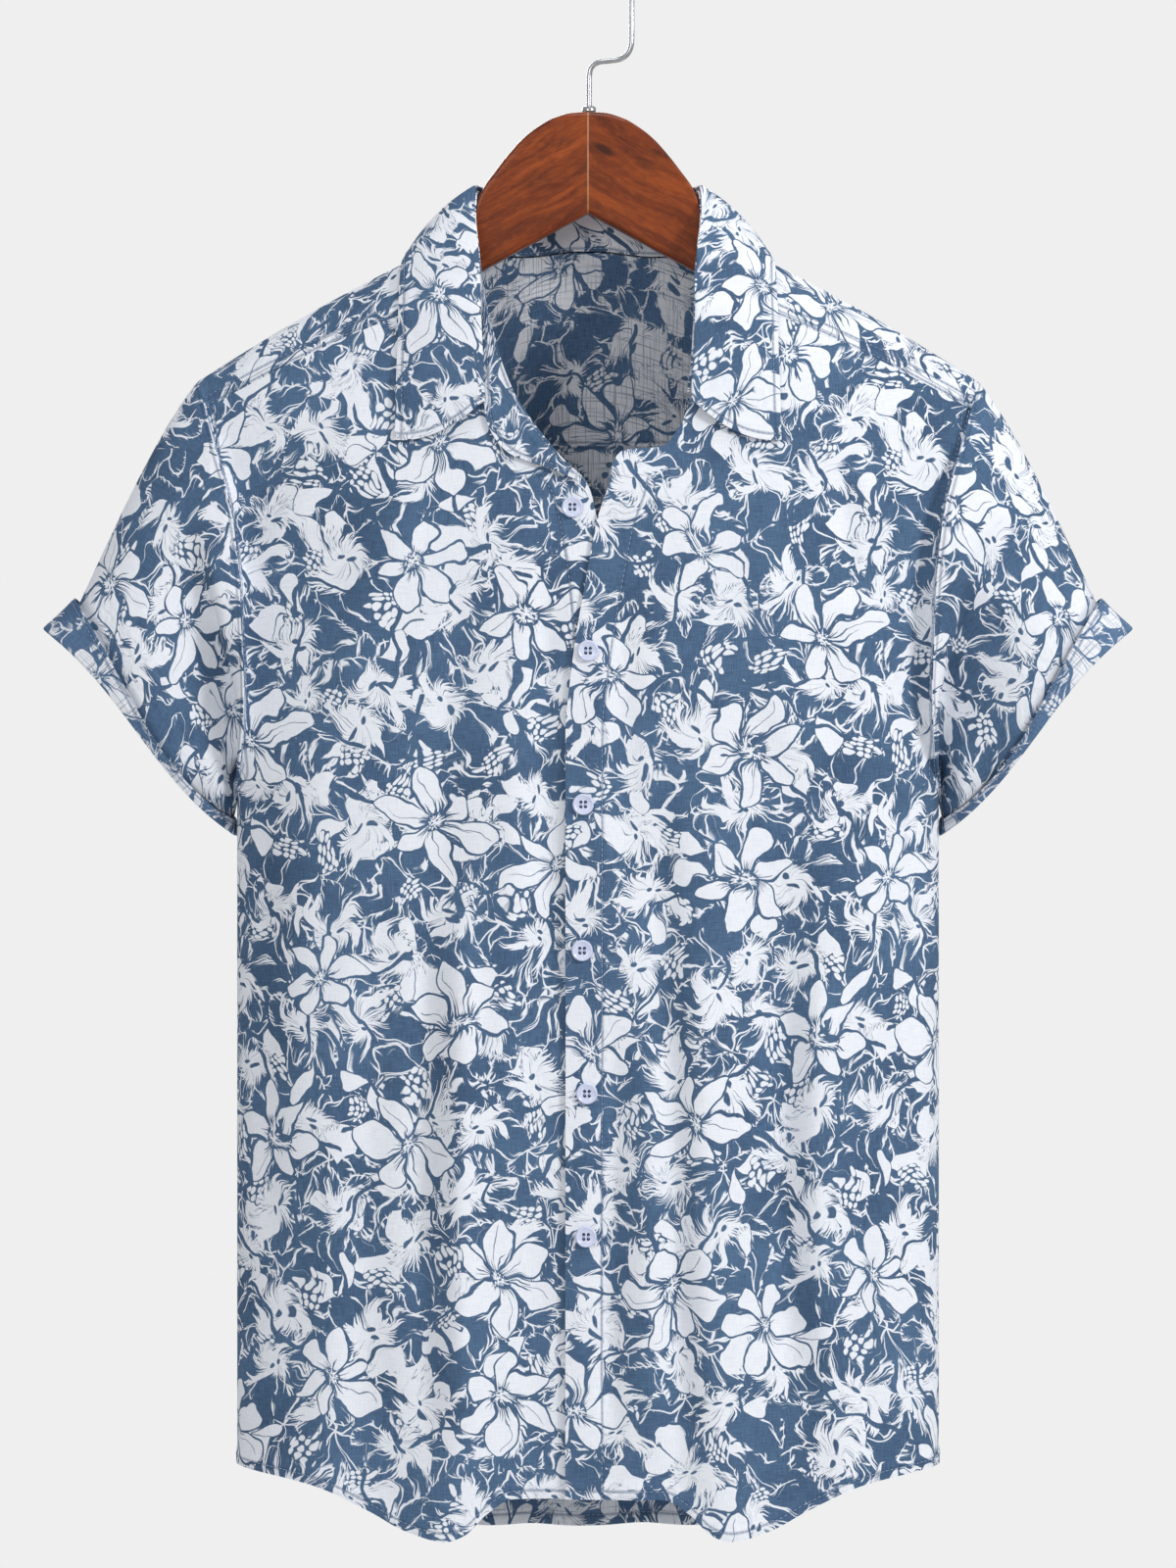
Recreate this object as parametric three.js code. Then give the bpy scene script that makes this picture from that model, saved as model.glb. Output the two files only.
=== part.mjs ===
// A short-sleeved hawaiian shirt hanging open-necked on a two-piece wooden hanger with a wire hook.
// Millimetres, +Z up. The origin is the underside of the hook's crown, the front faces -Y and
// +X points to the wearer's left. Each cut piece of cloth is a thin wall of its own.
// Heights below are measured from a level that lies CROWN_RISE under that crown.
import * as THREE from "three";

const CROWN_RISE = 17;
const CLOTH = 1.2; // wall of one layer
const COLLAR_CLOTH = 1.6; // wall of the interlined collar
const SEAM = 0.5; // gap between two sewn pieces
const HALF_WIDTH = 200.5; // body, from the middle to a side seam
const BODY_DEPTH = 55; // from the shoulder line's plane to the chest or the back
const SIDE_Y = 5; // how far behind that plane the side seams hang
const SQUARENESS = 2.6; // exponent of the body's rounded section
const SIDE_HOLD = 3; // exponent with which the section lets go of its side edge
const SHOULDER = { round: 30, topZ: -119.2, slope: 0.37, fall: 0.000636 };
const RIDGE_SPREAD = 90; // drop over which the cloth swings out from the shoulder line
const RIDGE_ROUND = 34; // drop = p * p / RIDGE_ROUND at the distance p from the shoulder line
const BACK_SEAM_Z = -268; // level seam between yoke and back
const YOKE_DROP = { innerX: 62, innerZ: -184, outerZ: -251 }; // ends of the yoke's front seam
const OVERLAP = { drop: 2.2, from: -42, over: 26 }; // the under front sinks behind the over front
const BUTTON = { radius: 6, thickness: 2.4, hole: 0.9, holeSpacing: 1.8, shank: 0.45 };
const HANGER = { thickness: 14, edge: 3.5, mitre: 0.3, below: 2 };
const HANGER_END = { x: 206, round: 10, tall: 0.35, wide: 0.45 }; // the rounded end of an arm
const HANGER_SLIM = { from: 112, over: 60, share: 0.6 }; // where the arm thins towards that end
const WIRE = 1.5; // radius of the hook's wire
const FERRULE = { inner: 1.85, outer: 4, bottom: -80.2, top: -77 };

// One armhole, seen from its top forwards, down to the armpit and up the back; turn in degrees.
const ARMHOLE = [
  { turn: 0, x: 222.4, y: 0, z: -234.3 },
  { turn: 22.5, x: 213.7, y: -20, z: -268 },
  { turn: 45, x: 202.5, y: -33, z: -306 },
  { turn: 67.5, x: 197.5, y: -38, z: -342 },
  { turn: 90, x: 195.6, y: -40, z: -379 },
  { turn: 112.5, x: 194.5, y: -38, z: -415 },
  { turn: 135, x: 196.5, y: -29, z: -446 },
  { turn: 157.5, x: 199.6, y: -13, z: -465 },
  { turn: 180, x: 200.5, y: 5, z: -472 },
  { turn: 202.5, x: 200, y: 22, z: -464 },
  { turn: 225, x: 198, y: 33, z: -442 },
  { turn: 247.5, x: 196.5, y: 39, z: -408 },
  { turn: 270, x: 196.5, y: 40, z: -370 },
  { turn: 292.5, x: 199.5, y: 37, z: -332 },
  { turn: 315, x: 205, y: 30, z: -298 },
  { turn: 337.5, x: 214, y: 17, z: -265 },
];
const SHOULDER_TIP = ARMHOLE[0];
const ARMPIT = ARMHOLE[8];

// Rows of the two fronts: height at the inner edge, and how far that edge lies towards its own side.
const FRONT_ROWS = [
  { z: -184, under: 62, over: 62 },
  { z: -205, under: 54.5, over: 62 },
  { z: -228, under: 48, over: 60.5 },
  { z: -245, under: 41, over: 58 },
  { z: -257, under: 33.5, over: 54.5 },
  { z: -267, under: 26, over: 49 },
  { z: -274.5, under: 20, over: 41.5 },
  { z: -276.5, under: 18.5, over: 20 },
  { z: -284, under: 11.5, over: 14 },
  { z: -291, under: 3.5, over: 12.5 },
  { z: -298, under: -0.8, over: 11 },
  { z: -315, under: -5, over: 5.3 },
  { z: -348, under: -10, over: -1 },
  { z: -392, under: -13, over: -8.3 },
  { z: -434, under: -13, over: -12.6 },
  { z: -452, under: -13, over: -12.6 },
  { z: -463, under: -13, over: -12.6 },
  { z: -472, under: -13, over: -12.6 },
];
const ROWS_BELOW_ARMPIT = 10;
const FRONT_COLUMNS = 18;
const BACK_COLUMNS = 44;
const BACK_CROWDING = 0.65; // how far the back's columns gather towards its sides
const ARMPIT_SHARE = 0.325; // part of the back's rows that lies above the armpit
const BACK_STOPS = [0, 0.035, 0.075, 0.115, 0.16, 0.21, 0.255, 0.285, 0.31, ARMPIT_SHARE];

// Lower edges of the fronts and of the longer back.
const HEM = [
  { x: 0, front: -866, back: -896 },
  { x: 42, front: -866, back: -896.5 },
  { x: 57, front: -874, back: -896 },
  { x: 70, front: -886, back: -895 },
  { x: 80, front: -889, back: -893.5 },
  { x: 102, front: -884, back: -889 },
  { x: 124, front: -873, back: -882 },
  { x: 155, front: -859.5, back: -868 },
  { x: 201, front: -851.5, back: -851.5 },
];

// Soft upright folds: where each one runs, how wide it is and how far it stands out at the foot.
const FOLD_FOOT = -880;
const FOLD_GROWTH = 1.8; // how quickly a fold reaches its full depth
const FRONT_FOLDS = [
  { top: -118, bottom: -152, width: 17, out: 5, start: -330 },
  { top: -60, bottom: -80, width: 22, out: 9, start: -470 },
  { top: 62, bottom: 79, width: 22, out: 9, start: -430 },
  { top: 36, bottom: 24, width: 14, out: 3, start: -560 },
  { top: 128, bottom: 150, width: 18, out: 5.5, start: -300 },
  { top: -30, bottom: -30, width: 16, out: -3, start: -600 },
];
const BACK_FOLDS = [
  { top: -140, bottom: -158, width: 17, out: 13, start: -300 },
  { top: -86, bottom: -94, width: 19, out: 18, start: -280 },
  { top: -28, bottom: -34, width: 18, out: 16, start: -285 },
  { top: 26, bottom: 33, width: 20, out: 19, start: -280 },
  { top: 84, bottom: 97, width: 18, out: 17, start: -295 },
  { top: 142, bottom: 156, width: 16, out: 12, start: -310 },
];

// Neckline of the yoke by half turn: 0 at the back's middle, 1 at the front seam; p as on the ridge.
const NECKLINE = [
  { turn: 0, x: 0, p: 30.5 },
  { turn: 0.2, x: 25, p: 29.5 },
  { turn: 0.42, x: 48, p: 25.5 },
  { turn: 0.58, x: 64, p: 18 },
  { turn: 0.7, x: 71, p: 9 },
  { turn: 0.8, x: 73, p: 0 },
  { turn: 0.9, x: 70.5, p: -17 },
  { turn: 1, x: 62, p: -35.1 },
];
const YOKE_CLEAR = 0.3; // ridge distance left free at the front seam
const YOKE_CORNER = 0.45; // half turn at which the yoke's outline leaves the back seam for the armhole

// Collar by half turn: roll line and outer edge of the leaf. Past 1 it lies on the front, where the
// y columns give how far it stands off the cloth below.
const COLLAR = [
  { turn: 0, rollX: 0, rollY: 26, rollZ: -126, edgeX: 0, edgeY: 40.5, edgeZ: -182 },
  { turn: 0.2, rollX: 24, rollY: 25, rollZ: -126, edgeX: 32, edgeY: 38.5, edgeZ: -181 },
  { turn: 0.42, rollX: 44.5, rollY: 21.5, rollZ: -125.6, edgeX: 62, edgeY: 34.5, edgeZ: -179.5 },
  { turn: 0.58, rollX: 57.5, rollY: 15.5, rollZ: -125.2, edgeX: 82, edgeY: 29.5, edgeZ: -177 },
  { turn: 0.7, rollX: 63.4, rollY: 8.5, rollZ: -124.8, edgeX: 95, edgeY: 18.5, edgeZ: -169.5 },
  { turn: 0.8, rollX: 65.4, rollY: 0, rollZ: -124.6, edgeX: 103.5, edgeY: 4, edgeZ: -163 },
  { turn: 0.9, rollX: 66.4, rollY: -11, rollZ: -138, edgeX: 106, edgeY: -13.5, edgeZ: -169 },
  { turn: 1, rollX: 63.4, rollY: -32, rollZ: -168, edgeX: 106.8, edgeY: -24.5, edgeZ: -183 },
];
const COLLAR_FRONT = [
  { turn: 1.15, rollX: 62.2, rollY: 8, rollZ: -198, edgeX: 107.2, edgeY: 3, edgeZ: -203 },
  { turn: 1.3, rollX: 60.9, rollY: 6, rollZ: -225, edgeX: 107.8, edgeY: 2.6, edgeZ: -231 },
  { turn: 1.42, rollX: 59.8, rollY: 4.6, rollZ: -249.5, edgeX: 108.9, edgeY: 2.6, edgeZ: -270.5 },
];
const COLLAR_LANDING = 0.15; // half turn over which the collar comes to rest on the front
const LEAF = {
  crown: 4, // how far the leaf bulges between roll line and edge
  landingFrom: 0.85, // half turn at which it starts to flatten towards the front
  landingOver: 0.35,
  flatter: 0.25, // share of the bulge lost on the front
  ending: 0.12, // half turn over which its front end closes
  endFlatter: 0.7, // share of the bulge lost at that end
  endBow: 7, // how far that end rounds below a straight line
  rollRise: 1.5, // the roll line's lift behind the neck
  rollAhead: 1.2, // and its step forwards on the front
};

// The stand's edges against the seam below and the leaf's roll line above.
const STAND = { lift: 2, seamIn: 1.2, seamUp: 0.9, seamAhead: 0.8, rollIn: 2.1, rollDown: 0.6, overIn: 1.6 };
// The stand where it lies turned out on the under front: its fold edge and its free edge.
const STAND_UNDER = [
  { foldX: 54.5, foldZ: -205, freeX: 60.6, freeZ: -199 },
  { foldX: 48, foldZ: -228, freeX: 59.6, freeZ: -225 },
  { foldX: 41, foldZ: -245, freeX: 58.4, freeZ: -250 },
  { foldX: 36.4, foldZ: -252.5, freeX: 55, freeZ: -265.3 },
  { foldX: 28, foldZ: -264.5, freeX: 43.5, freeZ: -279 },
  { foldX: 14.5, foldZ: -281, freeX: 20.9, freeZ: -287 },
  { foldX: 3.5, foldZ: -291, freeX: 4.2, freeZ: -294.5 },
];
// On the over front it stays under the leaf: height, and how far each edge stands off the cloth.
const STAND_OVER = [
  { z: -198, seamLift: 1.3, rollX: 60.4, rollLift: 6 },
  { z: -225, seamLift: 1.3, rollX: 58.6, rollLift: 4.4 },
  { z: -244, seamLift: 1.3, rollX: 56.4, rollLift: 3.4 },
];

// Sleeve end: fold line of the turned-up cuff and the open edge below it, top and underarm points.
const CUFF_LINE = {
  top: { x: 289.6, y: 0, z: -360.2 },
  under: { x: 206, y: 20, z: -486 },
  depth: 38,
  bow: { top: -0.5, under: 12 },
};
const SLEEVE_END = {
  top: { x: 309.4, y: 0, z: -377.3 },
  under: { x: 204, y: 23, z: -494.5 },
  depth: 37,
  bow: { top: -10, under: 7 },
};
const END_FATNESS = 0.8; // exponent of the loop's section, 1 for a plain ellipse
const SLEEVE_GAP = { top: 1.3, under: 2.2 }; // from the body's edge to the sleeve's head
const SLEEVE_FACING = { out: 0.88, up: 0.47 }; // the way the sleeve's top looks
const SLEEVE_BULGE = 4; // how far the sleeve's top line swells outwards
const SLEEVE_STOP = 1.94; // the sleeve's layer ends just inside the cuff's open edge
const CUFF_START = 1.05; // and the cuff's layer starts just past the fold line
const SLEEVE_COLUMNS = 24;
const CUFF_LIFT = 2.2; // the cuff's layer over the sleeve's
const SLEEVE_FOLDS = [
  { turn: 62, width: 16, out: 5 },
  { turn: 105, width: 15, out: -6 },
  { turn: 140, width: 14, out: 4 },
  { turn: 235, width: 18, out: 5 },
  { turn: 280, width: 16, out: -4 },
  { turn: 318, width: 15, out: 4 },
];

// Buttons from the top: place on the fronts, and whether it is sewn to the over front.
const BUTTONS = [
  { x: -8.8, z: -308.7, over: false },
  { x: 0, z: -389.6, over: true },
  { x: -2.7, z: -475.9, over: true },
  { x: -3.3, z: -557.9, over: true },
  { x: -0.6, z: -638.2, over: true },
  { x: -1.1, z: -718.5, over: true },
];

// Upper outline of one hanger half, outwards from the mitre; past the neck it follows the cloth.
const HANGER_DOME = [
  { x: 9, z: -81.1 },
  { x: 20, z: -84.2 },
  { x: 30, z: -90 },
  { x: 37.2, z: -95.8 },
  { x: 47.2, z: -107 },
  { x: 52.8, z: -114.3 },
  { x: 58.7, z: -122.3 },
  { x: 62.4, z: -129.5 },
  { x: 64.6, z: -137.5 },
  { x: 69, z: -154.5 },
];
const HANGER_TOP_Z = -80.6;
const HANGER_NOTCH_Z = -138.4;
const HANGER_SLOPE = 0.545; // fall of the lower edge
const HOOK_PATH = [
  { x: 0.6, z: -80.2 },
  { x: 0.7, z: -68 },
  { x: 0.8, z: -59.5 },
  { x: 2, z: -54.8 },
  { x: 5.9, z: -51.9 },
  { x: 12.3, z: -51.1 },
  { x: 17.9, z: -50.2 },
  { x: 21.9, z: -47.9 },
  { x: 24.3, z: -43.8 },
  { x: 25, z: -38 },
  { x: 25, z: -22 },
];
const HOOK_LOOP = { x: 0.5, z: -6, radius: 24.5, from: 0, to: 196 };

const INDIGO = { color: 0x4f7197, roughness: 0.88, metalness: 0 };
const WOOD = { color: 0x7d3b1e, roughness: 0.35, metalness: 0 };
const STEEL = { color: 0xc4c6c8, roughness: 0.25, metalness: 1 };
const SHELL = { color: 0xd3daee, roughness: 0.3, metalness: 0 };

const lerp = (a, b, t) => a + (b - a) * t;
const clamp = (v) => Math.min(1, Math.max(0, v));
const smooth = (v) => clamp(v) ** 2 * (3 - 2 * clamp(v));
const point = (x, y, z) => new THREE.Vector3(x, y, z);

// Value of one column of a table at a key, on a curve through its rows that never overshoots them.
function along(rows, key, column, at) {
  const ascending = rows[0][key] < rows[rows.length - 1][key];
  const list = ascending ? rows : [...rows].reverse();
  const last = list.length - 1;
  if (at <= list[0][key]) return list[0][column];
  if (at >= list[last][key]) return list[last][column];
  let i = 0;
  while (at > list[i + 1][key]) i += 1;
  const span = (n) => list[n + 1][key] - list[n][key];
  const rise = (n) => (list[n + 1][column] - list[n][column]) / span(n);
  const slope = (n) => {
    if (n === 0) return rise(0);
    if (n === last) return rise(last - 1);
    const before = rise(n - 1);
    const after = rise(n);
    return before * after <= 0 ? 0 : (2 * before * after) / (before + after);
  };
  const t = (at - list[i][key]) / span(i);
  const start = list[i][column] + slope(i) * span(i) * t * (1 - t) ** 2;
  const blend = t * t * (3 - 2 * t);
  const end = slope(i + 1) * span(i) * t * t * (t - 1);
  return start + end + (list[i + 1][column] - list[i][column]) * blend;
}

// Height of the shoulder line over a distance x from the middle.
function shoulderZ(x) {
  const { round, topZ, slope, fall } = SHOULDER;
  const reach = Math.hypot(x, round);
  return topZ - slope * reach - fall * reach * reach;
}

// Point of the armhole ring at a turn in degrees, smooth all the way round.
function armhole(turn) {
  const count = ARMHOLE.length;
  const at = ((((turn % 360) + 360) % 360) / 360) * count;
  const i = Math.floor(at);
  const t = at - i;
  const row = (n) => ARMHOLE[(i + n + count) % count];
  const mix = (column) => {
    const [a, b, c, d] = [-1, 0, 1, 2].map((n) => row(n)[column]);
    const bend = 2 * a - 5 * b + 4 * c - d;
    return b + 0.5 * t * (c - a + t * (bend + t * (3 * (b - c) + d - a)));
  };
  return point(mix("x"), mix("y"), mix("z"));
}

// Outer edge of the front (side -1) or back (side 1) at a height: armhole above, side seam below.
function outerEdge(side, z) {
  if (z >= SHOULDER_TIP.z) return { x: SHOULDER_TIP.x, y: 0 };
  if (z <= ARMPIT.z) return { x: HALF_WIDTH, y: SIDE_Y };
  let upper = side < 0 ? 0 : 360;
  let lower = 180;
  for (let step = 0; step < 24; step += 1) {
    const middle = (upper + lower) / 2;
    if (armhole(middle).z > z) upper = middle;
    else lower = middle;
  }
  return armhole((upper + lower) / 2);
}

// Sum of the upright folds at a place; each one swells from its start down to the hem.
function foldOut(folds, x, z) {
  return folds.reduce((sum, fold) => {
    const down = clamp((fold.start - z) / (fold.start - FOLD_FOOT));
    const middle = lerp(fold.top, fold.bottom, down);
    const share = Math.exp(-(((x - middle) / fold.width) ** 2));
    return sum + fold.out * share * smooth(down * FOLD_GROWTH);
  }, 0);
}

// The body's surface: x is signed, side -1 is the front and 1 the back.
function body(side, x, z) {
  const edge = outerEdge(side, z);
  const drop = Math.max(0, shoulderZ(x) - z);
  const swing = BODY_DEPTH * Math.sqrt(1 - Math.exp(-drop / RIDGE_SPREAD));
  const share = clamp(Math.abs(x) / edge.x);
  const crown = (1 - share ** SQUARENESS) ** (1 / SQUARENESS);
  const folds = foldOut(side < 0 ? FRONT_FOLDS : BACK_FOLDS, x, z) * crown;
  const gap = z < SHOULDER_TIP.z ? side * SEAM * 0.5 : 0;
  const rounded = SIDE_Y + (side * swing - SIDE_Y) * crown;
  const held = (edge.y + gap - SIDE_Y) * (1 - crown) ** SIDE_HOLD;
  return point(x, rounded + held + side * folds, z);
}

// The same surface from the distance p to the shoulder line: negative in front, positive behind.
function shoulder(x, p) {
  return body(p < 0 ? -1 : 1, x, shoulderZ(x) - (p * p) / RIDGE_ROUND);
}

function ridgeDistance(x, z, side) {
  return side * Math.sqrt(RIDGE_ROUND * Math.max(0, shoulderZ(x) - z));
}

// Turns a grid of points into a closed wall: both faces, and a rim round its open edges.
function wall(grid, thickness, closed = false) {
  const rows = grid.length;
  const columns = grid[0].length;
  const positions = [];
  const normals = normalsOf(grid, closed);
  for (const face of [0.5, -0.5]) {
    for (let i = 0; i < rows; i += 1) {
      for (let j = 0; j < columns; j += 1) {
        const moved = grid[i][j].clone().addScaledVector(normals[i][j], face * thickness);
        positions.push(moved.x, moved.y, moved.z);
      }
    }
  }
  const half = rows * columns;
  const index = (layer, i, j) => layer * half + i * columns + ((j + columns) % columns);
  const triangles = [];
  const quad = (a, b, c, d) => triangles.push(a, b, c, a, c, d);
  const spans = closed ? columns : columns - 1;
  for (let i = 0; i < rows - 1; i += 1) {
    for (let j = 0; j < spans; j += 1) {
      quad(index(0, i, j), index(0, i + 1, j), index(0, i + 1, j + 1), index(0, i, j + 1));
      quad(index(1, i, j), index(1, i, j + 1), index(1, i + 1, j + 1), index(1, i + 1, j));
    }
  }
  for (let j = 0; j < spans; j += 1) {
    const end = rows - 1;
    quad(index(0, 0, j), index(0, 0, j + 1), index(1, 0, j + 1), index(1, 0, j));
    quad(index(0, end, j + 1), index(0, end, j), index(1, end, j), index(1, end, j + 1));
  }
  for (let i = 0; i < rows - 1 && !closed; i += 1) {
    const end = columns - 1;
    quad(index(0, i + 1, 0), index(0, i, 0), index(1, i, 0), index(1, i + 1, 0));
    quad(index(0, i, end), index(0, i + 1, end), index(1, i + 1, end), index(1, i, end));
  }
  return facingOut(positions, triangles);
}

// Unit normal of a grid at each of its points, from the neighbours on both sides.
function normalsOf(grid, closed) {
  const rows = grid.length;
  const columns = grid[0].length;
  const near = (i, j) => {
    const jj = closed ? (j + columns) % columns : Math.min(columns - 1, Math.max(0, j));
    return grid[Math.min(rows - 1, Math.max(0, i))][jj];
  };
  return grid.map((row, i) =>
    row.map((_, j) => {
      const down = near(i + 1, j).clone().sub(near(i - 1, j));
      const across = near(i, j + 1).clone().sub(near(i, j - 1));
      return down.cross(across).normalize();
    }),
  );
}

// Geometry from positions and triangles, turned round where its faces point inwards.
function facingOut(positions, triangles) {
  let volume = 0;
  const corner = (n) => point(...positions.slice(3 * n, 3 * n + 3));
  for (let i = 0; i < triangles.length; i += 3) {
    const [a, b, c] = triangles.slice(i, i + 3).map(corner);
    volume += a.dot(b.cross(c));
  }
  if (volume < 0) {
    for (let i = 0; i < triangles.length; i += 3) {
      [triangles[i + 1], triangles[i + 2]] = [triangles[i + 2], triangles[i + 1]];
    }
  }
  const geometry = new THREE.BufferGeometry();
  geometry.setAttribute("position", new THREE.Float32BufferAttribute(positions, 3));
  geometry.setIndex(triangles);
  return geometry;
}

// A grid moved along its own normals, for what lies on a piece.
function lifted(grid, amount, closed = false) {
  const normals = normalsOf(grid, closed);
  return grid.map((row, i) =>
    row.map((p, j) => p.clone().addScaledVector(normals[i][j], amount)),
  );
}

const mirrored = (grid) => grid.map((row) => row.map((p) => point(-p.x, p.y, p.z)));
const steps = (count) => Array.from({ length: count + 1 }, (_, i) => i / count);

const shirt = new THREE.Group();

function add(name, geometry, finish, parent = shirt) {
  const mesh = new THREE.Mesh(geometry, new THREE.MeshStandardMaterial(finish));
  mesh.name = name;
  mesh.position.z = -CROWN_RISE;
  parent.add(mesh);
  return mesh;
}

// Front seam of the yoke from the neckline (0) to the armhole (1).
function frontSeam(t) {
  const outer = outerEdge(-1, YOKE_DROP.outerZ);
  const innerP = ridgeDistance(YOKE_DROP.innerX, YOKE_DROP.innerZ, -1);
  const outerP = ridgeDistance(outer.x, YOKE_DROP.outerZ, -1);
  const x = lerp(YOKE_DROP.innerX, outer.x, t);
  const p = lerp(innerP, outerP, t);
  return { x, p, z: shoulderZ(x) - (p * p) / RIDGE_ROUND };
}

// Grid of one front. Side 1 is the over front at +X, side -1 the under front at -X.
function frontGrid(side) {
  const column = side > 0 ? "over" : "under";
  const top = FRONT_ROWS[0].z;
  const columns = steps(FRONT_COLUMNS).map((t) => Math.sin((t * Math.PI) / 2));
  const place = (across, z) => {
    const x = side * across;
    const under = side > 0 ? 0 : OVERLAP.drop * smooth((x - OVERLAP.from) / OVERLAP.over);
    const on = body(-1, x, z);
    on.y += under;
    return on;
  };
  const upper = FRONT_ROWS.map((row) => {
    const v = (top - row.z) / (top - ARMPIT.z);
    const outerZ = lerp(YOKE_DROP.outerZ, ARMPIT.z, v);
    const outerX = outerEdge(-1, outerZ).x;
    return columns.map((u) => {
      const straight = lerp(row.z, outerZ, u);
      const bow = frontSeam(u).z - lerp(top, YOKE_DROP.outerZ, u);
      const gap = v === 0 ? SEAM / 2 : 0;
      return place(lerp(row[column], outerX, u), straight + bow * (1 - v) ** 2 - gap);
    });
  });
  const inner = FRONT_ROWS[FRONT_ROWS.length - 1][column];
  const lower = steps(ROWS_BELOW_ARMPIT).slice(1).map((v) =>
    columns.map((u) => {
      const across = lerp(inner, HALF_WIDTH, u);
      return place(across, lerp(ARMPIT.z, along(HEM, "x", "front", Math.abs(across)), v));
    }),
  );
  return [...upper, ...lower];
}

function backGrid() {
  const columns = steps(BACK_COLUMNS).map((t) => {
    const s = 2 * t - 1;
    return lerp(s, Math.sin((s * Math.PI) / 2), BACK_CROWDING);
  });
  const below = steps(ROWS_BELOW_ARMPIT).slice(1).map((t) => lerp(ARMPIT_SHARE, 1, t));
  return [...BACK_STOPS, ...below].map((v) => {
    const upper = Math.min(1, v / ARMPIT_SHARE);
    const level = lerp(BACK_SEAM_Z - SEAM / 2, ARMPIT.z, upper);
    const lower = clamp((v - ARMPIT_SHARE) / (1 - ARMPIT_SHARE));
    return columns.map((s) => {
      const width = outerEdge(1, level).x;
      const hem = along(HEM, "x", "back", Math.abs(s) * width);
      return body(1, s * width, lerp(level, hem, lower));
    });
  });
}

// Outer outline of the yoke by half turn, as x and ridge distance p.
function yokeOutline(turn) {
  const corner = outerEdge(1, BACK_SEAM_Z + SEAM / 2);
  if (turn <= YOKE_CORNER) {
    const x = (corner.x * turn) / YOKE_CORNER;
    return { x, p: ridgeDistance(x, BACK_SEAM_Z + SEAM / 2, 1) };
  }
  const share = (turn - YOKE_CORNER) / (1 - YOKE_CORNER);
  const backP = ridgeDistance(corner.x, BACK_SEAM_Z + SEAM / 2, 1);
  const p = lerp(backP, frontSeam(1).p + YOKE_CLEAR, share);
  const side = p < 0 ? -1 : 1;
  let x = SHOULDER_TIP.x;
  for (let step = 0; step < 30; step += 1) {
    x = lerp(x, outerEdge(side, shoulderZ(x) - (p * p) / RIDGE_ROUND).x, 0.5);
  }
  return { x, p };
}

function yokeGrid() {
  const turns = steps(30).map((t) => 2 * t - 1);
  const across = steps(8);
  return turns.map((signed) => {
    const side = Math.sign(signed) || 1;
    const turn = Math.abs(signed);
    const outer = yokeOutline(turn);
    const gap = turn === 1 ? YOKE_CLEAR : 0;
    const neckX = along(NECKLINE, "turn", "x", turn);
    const neckP = along(NECKLINE, "turn", "p", turn) + gap;
    return across.map((t) =>
      shoulder(side * lerp(neckX, outer.x, t), lerp(neckP, outer.p, t)),
    );
  });
}

// Loop round one sleeve end: turn 0 at the top, 90 in front, 180 under the arm.
function endLoop(line, turn) {
  const angle = (turn * Math.PI) / 180;
  const share = (1 - Math.cos(angle)) / 2;
  const spread = Math.sin(angle);
  const fat = Math.sign(spread) * Math.abs(spread) ** END_FATNESS;
  const run = point(line.under.x - line.top.x, 0, line.under.z - line.top.z).normalize();
  const outwards = point(-run.z, 0, run.x);
  const { top, under } = line;
  const on = point(lerp(top.x, under.x, share), lerp(top.y, under.y, share), lerp(top.z, under.z, share));
  on.y -= line.depth * fat;
  return on.addScaledVector(outwards, lerp(line.bow.top, line.bow.under, share) * spread * spread);
}

// Sleeve at +X: s from the armhole (0) to the cuff's fold line (1) and on to the open edge (2).
function sleeve(turn, s) {
  const start = armhole(turn);
  const low = smooth((turn > 180 ? 360 - turn : turn) / 90 - 1);
  start.x += lerp(SLEEVE_GAP.top, SLEEVE_GAP.under, low);
  const fold = endLoop(CUFF_LINE, turn);
  if (s > 1) return fold.lerp(endLoop(SLEEVE_END, turn), s - 1);
  const angle = (turn * Math.PI) / 180;
  const swell = SLEEVE_BULGE * Math.sin(Math.PI * s ** 0.7);
  const creases = SLEEVE_FOLDS.reduce((sum, crease) => {
    const away = Math.abs(turn - crease.turn) / crease.width;
    return sum + crease.out * Math.exp(-away * away);
  }, 0);
  const out = swell * Math.max(0, Math.cos(angle)) + creases * Math.sin(Math.PI * s ** 0.8);
  const on = start.lerp(fold, s);
  const { out: outward, up } = SLEEVE_FACING;
  const facing = point(outward * Math.cos(angle / 2) ** 2, -Math.sin(angle), up * Math.cos(angle));
  return on.addScaledVector(facing.normalize(), out);
}

function sleeveGrid(from, to, count) {
  const turns = steps(SLEEVE_COLUMNS).slice(0, -1).map((t) => 360 * t);
  return steps(count).map((t) => turns.map((turn) => sleeve(turn, lerp(from, to, t))));
}

// Roll line or outer edge of the collar at a half turn, on the side given by its sign.
function collarLine(name, turn, side) {
  const on = [...COLLAR, ...COLLAR_FRONT];
  const x = side * along(on, "turn", `${name}X`, turn);
  const z = along(on, "turn", `${name}Z`, turn);
  const free = along(COLLAR, "turn", `${name}Y`, turn);
  const lift = along(COLLAR_FRONT, "turn", `${name}Y`, turn);
  const resting = body(-1, x, z).y - lift;
  return point(x, lerp(free, resting, smooth((turn - 1) / COLLAR_LANDING)), z);
}

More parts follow.
